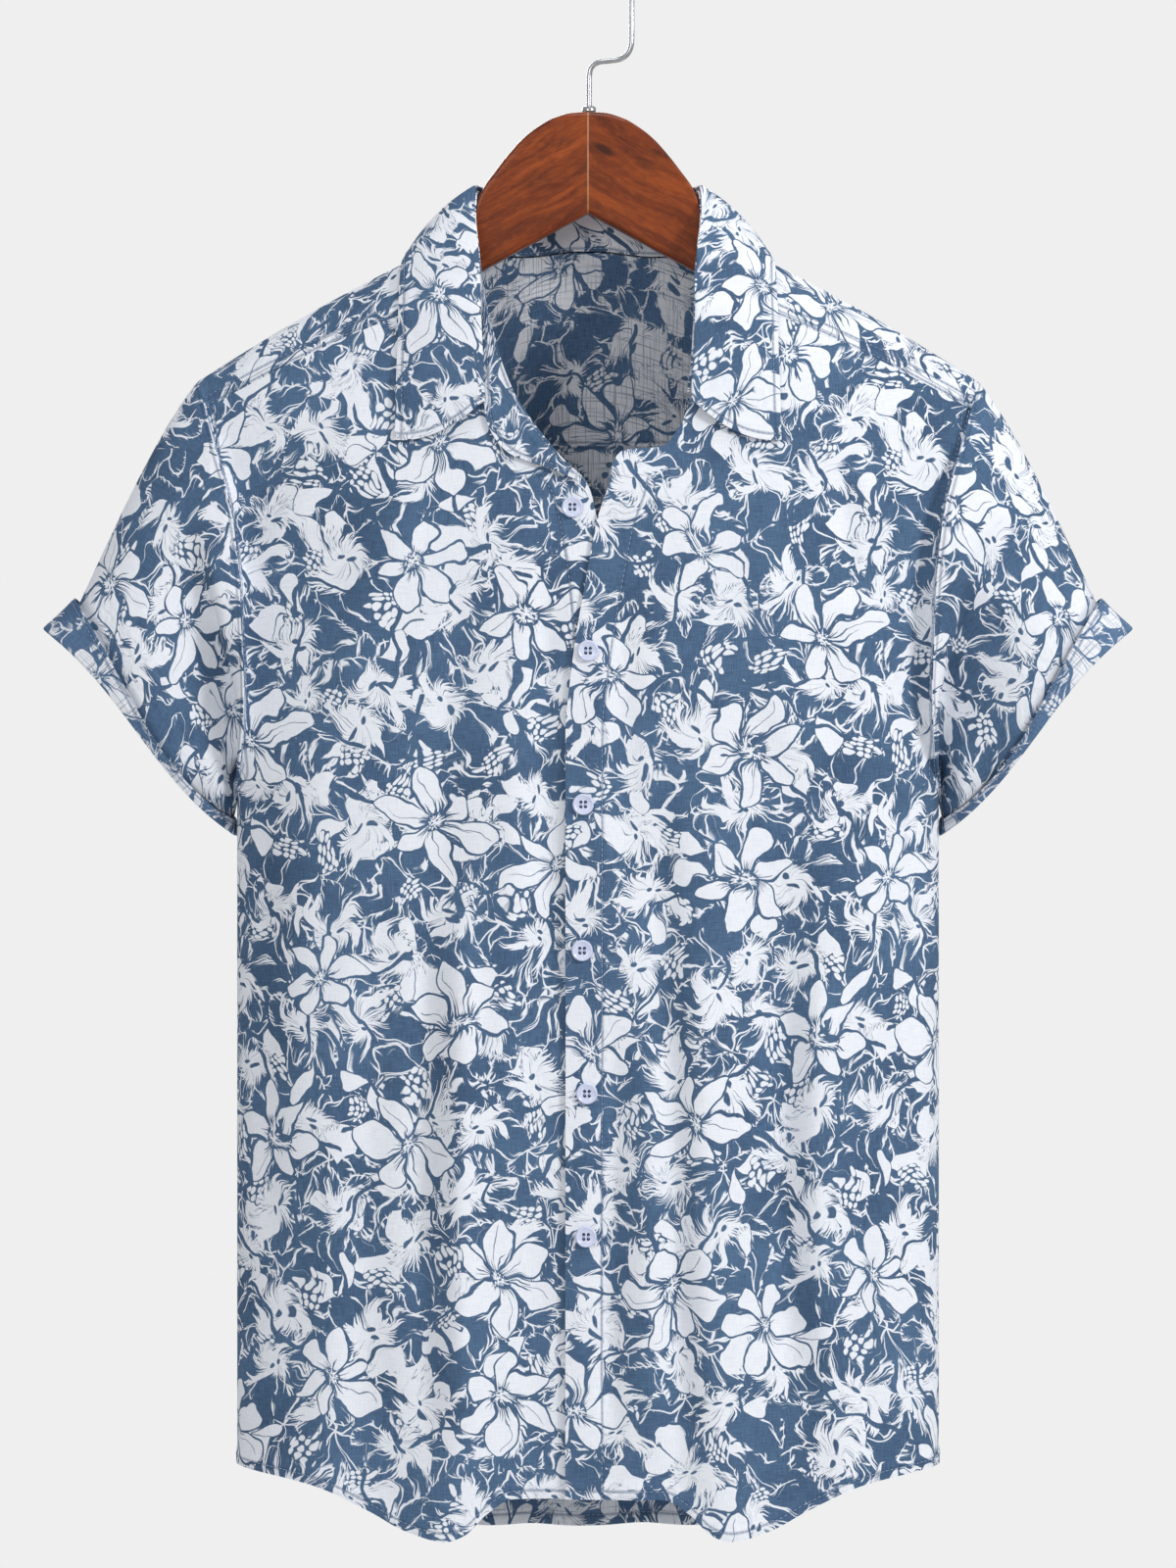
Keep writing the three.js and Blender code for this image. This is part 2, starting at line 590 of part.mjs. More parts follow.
function leafGrid() {
  const end = COLLAR_FRONT[COLLAR_FRONT.length - 1].turn;
  const turns = steps(34).map((t) => end * (2 * t - 1));
  const across = steps(6);
  return turns.map((signed) => {
    const side = Math.sign(signed) || 1;
    const turn = Math.abs(signed);
    const roll = collarLine("roll", turn, side);
    const edge = collarLine("edge", turn, side);
    const run = edge.clone().sub(roll).normalize();
    const front = smooth((turn - LEAF.landingFrom) / LEAF.landingOver);
    const outwards = point(side * 0.7 * turn, turn < 0.8 ? 0.7 * (1 - turn) : -0.9 * front, 0.6);
    outwards.addScaledVector(run, -outwards.dot(run)).normalize();
    const ending = smooth(1 + (turn - end) / LEAF.ending);
    const bulge = 4 * LEAF.crown * (1 - LEAF.flatter * front) * (1 - LEAF.endFlatter * ending);
    return across.map((t) => {
      const on = roll.clone().lerp(edge, t).addScaledVector(outwards, bulge * t * (1 - t));
      on.z -= LEAF.endBow * ending * 4 * t * (1 - t);
      on.z += LEAF.rollRise * (1 - t) * (1 - front);
      on.y -= LEAF.rollAhead * (1 - t) * front;
      return on;
    });
  });
}

function standGrid() {
  const across = steps(3);
  const strip = (a, b) => across.map((t) => a.clone().lerp(b, t));
  const onFront = (x, z, lift) => body(-1, x, z).add(point(0, -lift, 0));
  const under = STAND_UNDER.map((row) =>
    strip(onFront(-row.foldX, row.foldZ, STAND.lift), onFront(-row.freeX, row.freeZ, STAND.lift)),
  ).reverse();
  const loop = steps(26).map((t) => {
    const signed = 2 * t - 1;
    const side = Math.sign(signed) || 1;
    const turn = Math.abs(signed);
    const seam = shoulder(
      side * along(NECKLINE, "turn", "x", turn),
      along(NECKLINE, "turn", "p", turn),
    );
    const inwards = point(-seam.x, -seam.y, 0).normalize();
    const ahead = STAND.seamAhead * smooth((turn - 0.8) / 0.2);
    seam.addScaledVector(inwards, STAND.seamIn).add(point(0, -ahead, STAND.seamUp));
    const roll = collarLine("roll", turn, side).addScaledVector(inwards, STAND.rollIn);
    roll.z -= STAND.rollDown;
    return strip(seam, roll);
  });
  const over = STAND_OVER.map((row) => {
    const seamX = along(FRONT_ROWS, "z", "over", row.z) - STAND.overIn;
    return strip(onFront(seamX, row.z, row.seamLift), onFront(row.rollX, row.z, row.rollLift));
  });
  return [...under, ...loop, ...over];
}

// A many-sided outline round a point, for a button's edge or one of its holes.
function polygon(path, x, y, radius, sides) {
  const corners = steps(sides).slice(0, -1).map((t) => {
    const angle = 2 * Math.PI * t;
    return new THREE.Vector2(x + radius * Math.cos(angle), y + radius * Math.sin(angle));
  });
  return path.setFromPoints(corners);
}

// A four-hole button, its face towards -Y.
function buttonGeometry() {
  const { radius, thickness, hole, holeSpacing } = BUTTON;
  const outline = polygon(new THREE.Shape(), 0, 0, radius, 20);
  for (const turn of [0, 1, 2, 3]) {
    const angle = Math.PI / 4 + (turn * Math.PI) / 2;
    const [x, y] = [Math.cos(angle) * holeSpacing, Math.sin(angle) * holeSpacing];
    outline.holes.push(polygon(new THREE.Path(), x, y, hole, 6));
  }
  const disc = new THREE.ExtrudeGeometry(outline, { depth: thickness, bevelEnabled: false });
  disc.translate(0, 0, -thickness / 2);
  return disc.rotateX(Math.PI / 2);
}

// A solid through rings of points, its two ends closed with flat fans.
function loft(rings) {
  const count = rings[0].length;
  const positions = rings.flat().flatMap((p) => [p.x, p.y, p.z]);
  const triangles = [];
  for (let i = 0; i < rings.length - 1; i += 1) {
    for (let j = 0; j < count; j += 1) {
      const [a, b] = [i * count + j, i * count + ((j + 1) % count)];
      triangles.push(a, a + count, b + count, a, b + count, b);
    }
  }
  const last = (rings.length - 1) * count;
  for (let j = 1; j < count - 1; j += 1) {
    triangles.push(0, j, j + 1, last, last + j + 1, last + j);
  }
  return facingOut(positions, triangles);
}

// One wooden half: upright sections with rounded edges, from the mitre out to the rounded end.
function hangerHalf(side) {
  const { thickness, edge, mitre, below } = HANGER;
  const roundFrom = HANGER_END.x - HANGER_END.round;
  const dome = [{ x: 0, z: HANGER_TOP_Z }, ...HANGER_DOME];
  const last = HANGER_DOME[HANGER_DOME.length - 1];
  const near = [mitre / 2, 4.5, ...HANGER_DOME.map((row) => row.x)];
  const far = steps(11).map((t) => lerp(last.x + 9, roundFrom, t));
  const tip = [30, 60, 80, 90].map((turn) => Math.sin((turn * Math.PI) / 180));
  const ends = tip.map((share) => roundFrom + HANGER_END.round * share);
  const rings = [...near, ...far, ...ends].map((x) => {
    const closing = Math.sqrt(1 - clamp((x - roundFrom) / HANGER_END.round) ** 2);
    const slim = lerp(1, HANGER_SLIM.share, smooth((x - HANGER_SLIM.from) / HANGER_SLIM.over));
    const top = x <= last.x ? along(dome, "x", "z", x) : shoulderZ(x) - below - (1 - slim);
    const low = HANGER_NOTCH_Z - HANGER_SLOPE * x;
    const middle = (top + low) / 2;
    const tall = ((top - low) / 2) * lerp(HANGER_END.tall, 1, closing);
    const wide = (thickness / 2) * lerp(HANGER_END.wide, 1, closing) * slim;
    const round = Math.min(edge, 0.8 * wide);
    return [0, 1, 2, 3].flatMap((corner) =>
      [0, 45, 90].map((turn) => {
        const angle = ((corner * 90 + turn) * Math.PI) / 180;
        const [signY, signZ] = [corner % 3 === 0 ? 1 : -1, corner < 2 ? 1 : -1];
        const y = signY * (wide - round) + round * Math.cos(angle);
        return point(side * x, y, middle + signZ * (tall - round) + round * Math.sin(angle));
      }),
    );
  });
  return loft(rings);
}

// The hook's wire: up from the hanger, out to one side and round the open loop.
function hookGeometry() {
  const { x, z, radius, from, to } = HOOK_LOOP;
  const loop = steps(16).map((t) => {
    const angle = (lerp(from, to, t) * Math.PI) / 180;
    return point(x + radius * Math.cos(angle), 0, z + radius * Math.sin(angle));
  });
  const path = new THREE.CatmullRomCurve3(
    [...HOOK_PATH.map((row) => point(row.x, 0, row.z)), ...loop],
    false,
    "centripetal",
  );
  const section = new THREE.Shape();
  section.absarc(0, 0, WIRE, 0, 2 * Math.PI);
  return new THREE.ExtrudeGeometry(section, { steps: 60, curveSegments: 4, extrudePath: path });
}

function ferruleGeometry() {
  const { inner, outer, bottom, top } = FERRULE;
  const profile = [
    [inner, bottom],
    [outer, bottom],
    [outer, top - 0.8],
    [outer - 0.8, top],
    [inner, top],
    [inner, bottom],
  ].map(([r, z]) => new THREE.Vector2(r, z));
  return new THREE.LatheGeometry(profile, 14).rotateX(Math.PI / 2);
}

add("front_right", wall(frontGrid(-1), CLOTH), INDIGO);
add("front_left", wall(frontGrid(1), CLOTH), INDIGO);
add("back", wall(backGrid(), CLOTH), INDIGO);
add("yoke", wall(yokeGrid(), CLOTH), INDIGO);

const sleeveWall = sleeveGrid(0, SLEEVE_STOP, 10);
const cuffWall = lifted(sleeveGrid(CUFF_START, 2, 4), -CUFF_LIFT, true);
add("sleeve_left", wall(sleeveWall, CLOTH, true), INDIGO);
add("sleeve_right", wall(mirrored(sleeveWall), CLOTH, true), INDIGO);
add("cuff_left", wall(cuffWall, CLOTH, true), INDIGO);
add("cuff_right", wall(mirrored(cuffWall), CLOTH, true), INDIGO);

add("collar_leaf", wall(leafGrid(), COLLAR_CLOTH), INDIGO);
add("collar_stand", wall(standGrid(), COLLAR_CLOTH), INDIGO);

BUTTONS.forEach(({ x, z, over }, i) => {
  const button = add(`button_${i + 1}`, buttonGeometry(), SHELL);
  const cloth = body(-1, x, z);
  const under = over ? 0 : OVERLAP.drop;
  const off = CLOTH / 2 + BUTTON.thickness / 2 + BUTTON.shank;
  button.position.set(x, cloth.y + under - off, z - CROWN_RISE);
});

const hanger = new THREE.Group();
shirt.add(hanger);
add("hanger_arm_left", hangerHalf(1), WOOD, hanger);
add("hanger_arm_right", hangerHalf(-1), WOOD, hanger);
add("hook", hookGeometry(), STEEL, hanger);
const ferrule = add("ferrule", ferruleGeometry(), STEEL, hanger);
ferrule.position.x = HOOK_PATH[0].x;

export default shirt;
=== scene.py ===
"""A short-sleeved hawaiian shirt hanging open-necked on a two-piece wooden hanger with a wire hook.

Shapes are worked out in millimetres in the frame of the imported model: +Z up, the front faces -Y
and +X points to the wearer's left. Heights in the tables count from a level CROWN_RISE under the
hook's crown. Every piece is a surface of two parameters on a grid.
"""

import math

import bpy
import numpy as np
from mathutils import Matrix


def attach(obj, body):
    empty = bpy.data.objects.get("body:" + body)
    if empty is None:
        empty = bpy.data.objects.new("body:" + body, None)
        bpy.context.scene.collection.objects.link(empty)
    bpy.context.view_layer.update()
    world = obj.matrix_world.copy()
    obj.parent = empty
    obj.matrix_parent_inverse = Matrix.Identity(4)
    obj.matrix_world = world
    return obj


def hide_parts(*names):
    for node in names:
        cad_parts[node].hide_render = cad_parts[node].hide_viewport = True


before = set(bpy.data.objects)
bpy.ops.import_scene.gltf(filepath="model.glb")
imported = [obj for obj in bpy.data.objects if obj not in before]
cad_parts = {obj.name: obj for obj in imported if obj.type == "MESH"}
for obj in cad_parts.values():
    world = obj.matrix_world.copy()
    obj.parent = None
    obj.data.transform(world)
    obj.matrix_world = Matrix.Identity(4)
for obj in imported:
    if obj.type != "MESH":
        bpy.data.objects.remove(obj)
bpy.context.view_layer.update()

MM = 0.001
CROWN_RISE = 17.0
CLOTH = 0.7  # one layer of cloth
COLLAR_CLOTH = 1.3  # the interlined collar
SEAM = 0.02  # gap between two pieces that are sewn together
HALF_WIDTH = 200.5  # of the body at its side seams
BODY_DEPTH = 55.0  # how far the body swings to the front, and as far to the back
SIDE_Y = 5.0  # depth of the side seams
SQUARENESS = 2.6  # of the body's section: 2 is an ellipse
SIDE_HOLD = 3.0  # how late towards the side the section takes the armhole's depth
RIDGE_SPREAD = 90.0  # drop over which the body swings out
RIDGE_ROUND = 34.0  # how round the cloth lies over the shoulder line
BACK_SEAM_Z = -268.0
YOKE_INNER_X, YOKE_INNER_Z, YOKE_OUTER_Z = 62.0, -184.0, -251.0
YOKE_CLEAR, YOKE_CORNER = 0.05, 0.45
YOKE_SLOPE = 1.07  # length along the shoulder over its width
OVERLAP_DROP, OVERLAP_FROM, OVERLAP_OVER = 2.2, -42.0, 26.0  # the under front's step back
PLACKET = 20.5  # from the front's edge to its line of stitches
PLACKET_TOP = -290.0
PLACKET_REACH = 60  # nearer the edge than this, a place looks to the placket's line
HEM_STITCH = 4.6
HEM_BAND, HEM_STEP = 7.5, 1.5  # height of the turned hem, and how softly its layer ends
FOLDED = 0.6  # what a folded edge adds to the cloth's thickness
ARM_STITCHES, YOKE_STITCHES = (1.2, 6.5), (1.4, 6.6)  # two lines along each of these seams
BACK_SEAM_STITCH, YOKE_BACK_STITCH, CUFF_STITCH = 1.5, 1.8, 2.6
COLLAR_STITCH, STAND_STITCH_LOW, STAND_STITCH_HIGH = 3.6, 1.8, 3.0
STITCH_LIFT = 0.2  # how far a line of stitches lies off the cloth's face
NO_LINE = 99.0  # a distance at which no stitched line shows
SHOULDER_TOP, SHOULDER_FALL, SHOULDER_BEND, SHOULDER_ROUND = -119.2, 0.37, 0.000636, 30

# Armhole ring, every 22.5 degrees: top, forwards, armpit, up the back.
ARMHOLE = np.array(
    [
        [222.4, 0, -234.3],
        [213.7, -20, -268],
        [202.5, -33, -306],
        [197.5, -38, -342],
        [195.6, -40, -379],
        [194.5, -38, -415],
        [196.5, -29, -446],
        [199.6, -13, -465],
        [200.5, 5, -472],
        [200, 22, -464],
        [198, 33, -442],
        [196.5, 39, -408],
        [196.5, 40, -370],
        [199.5, 37, -332],
        [205, 30, -298],
        [214, 17, -265],
    ]
)
TIP_Z, ARMPIT_Z = ARMHOLE[0, 2], ARMHOLE[8, 2]

# Inner edges of the fronts: height, and how far each lies towards its own side.
FRONT_ROWS = {
    "z": [-184, -205, -228, -245, -257, -267, -274.5, -276.5, -284, -291, -298, -315, -348, -392]
    + [-434, -452, -463, -472],
    "under": [62, 54.5, 48, 41, 33.5, 26, 20, 18.5, 11.5, 3.5, -0.8, -5, -10, -13, -13, -13, -13]
    + [-13],
    "over": [62, 62, 60.5, 58, 54.5, 49, 41.5, 20, 14, 12.5, 11, 5.3, -1, -8.3, -12.6, -12.6]
    + [-12.6, -12.6],
}
HEM = {
    "x": [0, 42, 57, 70, 80, 102, 124, 155, 201],
    "front": [-866, -866, -874, -886, -889, -884, -873, -859.5, -851.5],
    "back": [-896, -896.5, -896, -895, -893.5, -889, -882, -868, -851.5],
}

# Upright folds: place at top and foot, width, how far it stands out, and where it starts.
FOLD_FOOT, FOLD_GROWTH = -880.0, 1.8
FRONT_FOLDS = [
    (-118, -152, 17, 5, -330),
    (-60, -80, 22, 9, -470),
    (62, 79, 22, 9, -430),
    (36, 24, 14, 3, -560),
    (128, 150, 18, 5.5, -300),
    (-30, -30, 16, -3, -600),
]
BACK_FOLDS = [
    (-140, -158, 17, 13, -300),
    (-86, -94, 19, 18, -280),
    (-28, -34, 18, 16, -285),
    (26, 33, 20, 19, -280),
    (84, 97, 18, 17, -295),
    (142, 156, 16, 12, -310),
]
CREASE_SCALE = 1.75
# Soft creases: from (x, z) to (x, z), width, and how far each stands out or sinks in.
FRONT_CREASES = [
    (-96, -292, -150, -430, 13, 2.4),
    (-152, -400, -166, -720, 15, 2.4),
    (-186, -440, -181, -760, 9, -2.4),
    (-122, -500, -130, -866, 15, -2.2),
    (-72, -330, -86, -570, 14, -1.8),
    (-40, -420, -47, -720, 11, 1.6),
    (-25, -330, -22, -620, 6.5, -2.0),
    (16, -300, 27, -560, 9, -1.5),
    (38, -420, 52, -866, 10, -2.6),
    (60, -520, 67, -880, 10, 1.4),
    (92, -290, 120, -480, 14, 2.2),
    (108, -470, 114, -866, 15, -2.2),
    (150, -330, 168, -650, 13, 2.4),
    (184, -430, 177, -800, 8, -2.4),
    (118, -246, 190, -340, 9, 1.4),
    (-118, -246, -190, -340, 9, 1.4),
    (-72, -500, -69, -880, 9, 2.6),
    (-93, -490, -90, -880, 9, -2.6),
    (37, -590, 38, -880, 9, 2.8),
    (14, -590, 11, -860, 9, -2.8),
    (105, -540, 109, -830, 10, -2.6),
    (128, -540, 131, -830, 10, 2.4),
    (152, -610, 154, -870, 9, -2.6),
    (173, -610, 172, -870, 8, 2.0),
    (143, -255, 147, -370, 8, -2.4),
    (-70, -640, -20, -700, 12, 0.8),
    (70, -600, 150, -560, 12, -0.8),
]
BACK_CREASES = [
    (-176, -330, -184, -700, 10, 2.0),
    (176, -350, 182, -720, 10, 2.0),
    (-114, -420, -126, -830, 8, -1.6),
    (112, -430, 124, -840, 8, -1.6),
    (-58, -400, -62, -800, 8, -1.6),
    (58, -410, 64, -810, 8, -1.6),
    (-2, -420, 0, -820, 9, -1.6),
    (-150, -230, -40, -262, 12, 0.8),
    (150, -230, 50, -262, 12, 0.8),
]

# Neckline of the yoke by half turn: place and ridge distance.
NECK_TURN = [0, 0.2, 0.42, 0.58, 0.7, 0.8, 0.9, 1]
NECK_X = [0, 25, 48, 64, 71, 73, 70.5, 62]
NECK_P = [30.5, 29.5, 25.5, 18, 9, 0, -17, -35.1]

# Collar by half turn: roll line and outer edge; past 1 the y columns give the lift off the front.
COLLAR = {
    "turn": [0, 0.2, 0.42, 0.58, 0.7, 0.8, 0.9, 1, 1.15, 1.3, 1.42],
    "rollX": [0, 24, 44.5, 57.5, 63.4, 65.4, 66.4, 63.4, 62.2, 60.9, 59.8],
    "rollY": [26, 25, 21.5, 15.5, 8.5, 0, -11, -32],
    "rollZ": [-126, -126, -125.6, -125.2, -124.8, -124.6, -138, -168, -198, -225, -249.5],
    "rollLift": [8, 6, 4.6],
    "edgeX": [0, 32, 62, 82, 95, 103.5, 106, 106.8, 107.2, 107.8, 108.9],
    "edgeY": [40.5, 38.5, 34.5, 29.5, 18.5, 4, -13.5, -24.5],
    "edgeZ": [-182, -181, -179.5, -177, -169.5, -163, -169, -183, -203, -231, -270.5],
    "edgeLift": [3, 2.6, 2.6],
}
COLLAR_LANDING = 0.15
LEAF_CROWN, LEAF_FLATTER, LEAF_END_FLATTER = 4.0, 0.25, 0.7
LEAF_LANDING, LEAF_LANDING_OVER, LEAF_ENDING = 0.85, 0.35, 0.12
LEAF_END_BOW, ROLL_RISE, ROLL_AHEAD = 7.0, 1.5, 1.2

# The stand turned out on the under front: x and z of its fold edge, then of its free edge. Under
# the leaf on the over front: height, the seam's lift, the roll's x and its lift.
STAND_UNDER = np.array(
    [
        [54.5, -205, 60.6, -199],
        [48, -228, 59.6, -225],
        [41, -245, 58.4, -250],
        [36.4, -252.5, 55, -265.3],
        [28, -264.5, 43.5, -279],
        [14.5, -281, 20.9, -287],
        [3.5, -291, 4.2, -294.5],
    ]
)
STAND_OVER = [(-198, 1.3, 60.4, 6), (-225, 1.3, 58.6, 4.4), (-244, 1.3, 56.4, 3.4)]
STAND_LIFT, STAND_SEAM_IN, STAND_SEAM_UP, STAND_SEAM_AHEAD = 2.0, 1.2, 0.9, 0.8
STAND_ROLL_IN, STAND_ROLL_DOWN, STAND_OVER_IN = 2.1, 0.6, 1.6

# Sleeve end loops: top point, underarm point, depth and bow.
CUFF_LINE = ((289.6, 0, -360.2), (204.6, 20, -486), 38, (-0.5, 12))
SLEEVE_END = ((309.4, 0, -377.3), (202.6, 23, -494.5), 37, (-10, 7))
END_FATNESS = 0.8
SLEEVE_BULGE = 4.0
# Deep fold in the sleeve's front beside the armhole. Its place and its widths are shares of the
# way out; it starts and ends at turns, each over some degrees, and moves in towards the underarm.
VALLEY_DEEP, VALLEY_NEAR, VALLEY_FAR = 19.0, 0.11, 0.3
VALLEY_AT, VALLEY_MOVE, VALLEY_MOVE_FROM, VALLEY_MOVE_OVER = 0.34, 0.12, 85, 60
VALLEY_START, VALLEY_START_OVER, VALLEY_END, VALLEY_END_OVER = 28, 50, 172, 30
# Long folds round the sleeve: turn, width, and how far each stands out.
SLEEVE_FOLDS = [
    (62, 16, 5),
    (105, 15, -6),
    (140, 14, 4),
    (235, 18, 5),
    (280, 16, -4),
    (318, 15, 4),
]
SLEEVE_CREASES = [
    (30, 7, 0.9),
    (48, 6, -1.0),
    (82, 6, 1.3),
    (122, 6, -1.2),
    (156, 8, 1.4),
    (205, 8, 1.2),
    (258, 7, -1.2),
    (300, 7, 1.0),
    (340, 8, -0.8),
]

BUTTONS = [
    (-8.8, -308.7, False),
    (0, -389.6, True),
    (-2.7, -475.9, True),
    (-3.3, -557.9, True),
    (-0.6, -638.2, True),
    (-1.1, -718.5, True),
]
BUTTON_RADIUS, BUTTON_THICK, BUTTON_SHANK, BUTTON_CLEAR = 6.0, 2.4, 0.45, 0.25
BUTTON_HOLE, BUTTON_HOLE_OUT = 0.85, 1.8

HANGER_DOME_X = [0, 9, 20, 30, 37.2, 47.2, 52.8, 58.7, 62.4, 64.6, 69]
HANGER_DOME_Z = [-80.6, -81.1, -84.2, -90, -95.8, -107, -114.3, -122.3, -129.5, -137.5, -154.5]
HANGER_NOTCH_Z, HANGER_SLOPE, HANGER_THICK, HANGER_BELOW = -138.4, 0.545, 14.0, 2.0
HANGER_END_X, HANGER_END_ROUND, HANGER_EDGE = 206.0, 10.0, 3.5
HANGER_FLAT_STOPS = (0.08, 0.3, 0.5, 0.7, 0.92)  # points along each flat side of a section
WIRE = 1.5
HOOK_PATH = [
    (0.6, -80.2),
    (0.7, -68),
    (0.8, -59.5),
    (2, -54.8),
    (5.9, -51.9),
    (12.3, -51.1),
    (17.9, -50.2),
    (21.9, -47.9),
    (24.3, -43.8),
    (25, -38),
    (25, -22),
]
HOOK_X, HOOK_Z, HOOK_RADIUS, HOOK_TO = 0.5, -6.0, 24.5, 196.0
# The ferrule's profile: radius and height.
FERRULE_PROFILE = np.array(
    [
        [1.55, -80.2],
        [3.7, -80.2],
        [4.0, -79.8],
        [4.0, -78.3],
        [3.6, -77.5],
        [2.7, -77.05],
        [1.55, -77.0],
    ]
)


def lerp(a, b, t):
    """The value a share t of the way from a to b: a plus t times their difference."""
    return a + (b - a) * t


def smooth(v):
    """Step from 0 to 1 with level ends: v squared times 3 less twice v, with v clamped."""
    v = np.clip(v, 0, 1)
    return v * v * (3 - 2 * v)


def along(keys, values, at):
    """Cubic through a table's rows that never overshoots: slopes are harmonic means of the rises."""
    keys, values = np.asarray(keys, float), np.asarray(values, float)
    if keys[0] > keys[-1]:
        keys, values = keys[::-1], values[::-1]
    span, rise = np.diff(keys), np.diff(values) / np.diff(keys)
    before, after = rise[:-1], rise[1:]
    total = np.where(before * after > 0, before + after, 1)
    inner = np.where(before * after > 0, 2 * before * after / total, 0)
    slope = np.concatenate([rise[:1], inner, rise[-1:]])
    at = np.clip(at, keys[0], keys[-1])
    i = np.clip(np.searchsorted(keys, at, side="right") - 1, 0, len(keys) - 2)
    t = (at - keys[i]) / span[i]
    ends = slope[i] * (1 - t) ** 2 * t + slope[i + 1] * t * t * (t - 1)
    return values[i] + (ends + rise[i] * t * t * (3 - 2 * t)) * span[i]


def through(points, at, closed=False):
    """Catmull-Rom curve through points; at counts them, and closed joins the last to the first."""
    points = np.asarray(points, float)
    count = len(points)
    i = np.floor(at).astype(int) if closed else np.clip(np.floor(at).astype(int), 0, count - 2)
    t = (at - i).reshape(-1, *[1] * (points.ndim - 1))
    pick = lambda n: points[(i + n) % count] if closed else points[np.clip(i + n, 0, count - 1)]
    a, b, c, d = pick(-1), pick(0), pick(1), pick(2)
    return b + 0.5 * t * (c - a + t * (2 * a - 5 * b + 4 * c - d + t * (3 * (b - c) + d - a)))


def ring_at(turn):
    """Armhole ring at a turn in degrees: the closed curve through its points."""
    turn = np.asarray(turn, float)
    flat = np.mod(turn.ravel(), 360) / 360 * len(ARMHOLE)
    return through(ARMHOLE, flat, closed=True).reshape(*turn.shape, 3)


def outer_edge(side, z):
    """Edge of a body panel at a height: the ring's front or back half, then the side seam."""
    ring = ring_at(np.linspace(0 if side < 0 else 360, 180, 1441))[::-1]
    height = np.maximum.accumulate(ring[:, 2])
    return np.interp(z, height, ring[:, 0]), np.interp(z, height, ring[:, 1])


def shoulder_z(x):
    """Shoulder line: its top less a share of the reach and of its square, rounded in the middle."""
    reach = np.hypot(x, SHOULDER_ROUND)
    return SHOULDER_TOP - SHOULDER_FALL * reach - SHOULDER_BEND * reach * reach


def fold_out(folds, x, z):
    """Sum of bell-shaped upright folds, each swelling from its start to the foot."""
    total = 0
    for top, foot, width, out, start in folds:
        down = np.clip((start - z) / (start - FOLD_FOOT), 0, 1)
        share = np.exp(-(((x - lerp(top, foot, down)) / width) ** 2))
        total = total + out * share * smooth(down * FOLD_GROWTH)
    return total


def crease_out(creases, x, z):
    """Sum of creases: a bell across each segment, faded over its length, and a faint uneven swell."""
    total = 0.35 * np.sin(x / 21 + z / 57) * np.sin(z / 43 - x / 88)
    total = total + 0.25 * np.sin(x / 11.3 - z / 83 + 1) * np.sin(z / 97 + x / 60)
    for x0, z0, x1, z1, width, out in creases:
        run = np.hypot(x1 - x0, z1 - z0)
        ax, az = (x1 - x0) / run, (z1 - z0) / run
        t = ((x - x0) * ax + (z - z0) * az) / run
        away = (x - x0) * az - (z - z0) * ax + 0.12 * width * np.sin(9 * t)
        bell = CREASE_SCALE * out * np.exp(-((away / width) ** 2))
        total = total + bell * smooth(4 * t) * smooth(4 - 4 * t)
    return total


def body(side, x, z):
    """The body's surface: a rounded section that swings out below the shoulder line, with folds."""
    x, z = np.broadcast_arrays(np.asarray(x, float), np.asarray(z, float))
    edge_x, edge_y = outer_edge(side, z)
    drop = np.maximum(0, shoulder_z(x) - z)
    swing = BODY_DEPTH * np.sqrt(1 - np.exp(-drop / RIDGE_SPREAD))
    share = np.clip(np.abs(x) / edge_x, 0, 1)
    crown = (1 - share**SQUARENESS) ** (1 / SQUARENESS)
    folds = fold_out(FRONT_FOLDS if side < 0 else BACK_FOLDS, x, z)
    creases = crease_out(FRONT_CREASES if side < 0 else BACK_CREASES, x, z) * smooth(drop / 45)
    gap = np.where(z < TIP_Z, side * SEAM * 0.5, 0)
    held = (edge_y + gap - SIDE_Y) * (1 - crown) ** SIDE_HOLD
    y = SIDE_Y + (side * swing - SIDE_Y) * crown + held + side * (folds + creases) * crown
    return np.stack([x, y, z], -1)


def shoulder(x, p):
    """The same surface by the distance p from the shoulder line: negative in front."""
    z = shoulder_z(x) - p * p / RIDGE_ROUND
    return np.where((p < 0)[..., None], body(-1, x, z), body(1, x, z))


def ridge_distance(x, z, side):
    """The p of shoulder() at a height: the root of RIDGE_ROUND times the drop."""
    return side * np.sqrt(RIDGE_ROUND * np.maximum(0, shoulder_z(x) - z))


def front_seam(t):
    """Yoke's front seam, straight in place and ridge distance from the neck to the armhole."""
    outer_x = outer_edge(-1, YOKE_OUTER_Z)[0]
    inner_p = ridge_distance(YOKE_INNER_X, YOKE_INNER_Z, -1)
    outer_p = ridge_distance(outer_x, YOKE_OUTER_Z, -1)
    x, p = lerp(YOKE_INNER_X, outer_x, t), lerp(inner_p, outer_p, t)
    return x, p, shoulder_z(x) - p * p / RIDGE_ROUND


def arc(points):
    """Length run along the last axis but one, from its start."""
    steps = np.linalg.norm(np.diff(points, axis=-2), axis=-1)
    return np.concatenate([np.zeros_like(steps[..., :1]), np.cumsum(steps, -1)], -1)


def normals(grid, closed=False):
    """Unit cross product of the steps down and across, from the neighbours on both sides."""
    down = np.gradient(grid, axis=0)
    if closed:
        ring = grid[:, :-1]
        across = np.roll(ring, -1, 1) - np.roll(ring, 1, 1)
        across = np.concatenate([across, across[:, :1]], 1)
    else:
        across = np.gradient(grid, axis=1)
    cross = np.cross(down, across)
    return cross / np.maximum(np.linalg.norm(cross, axis=-1, keepdims=True), 1e-9)


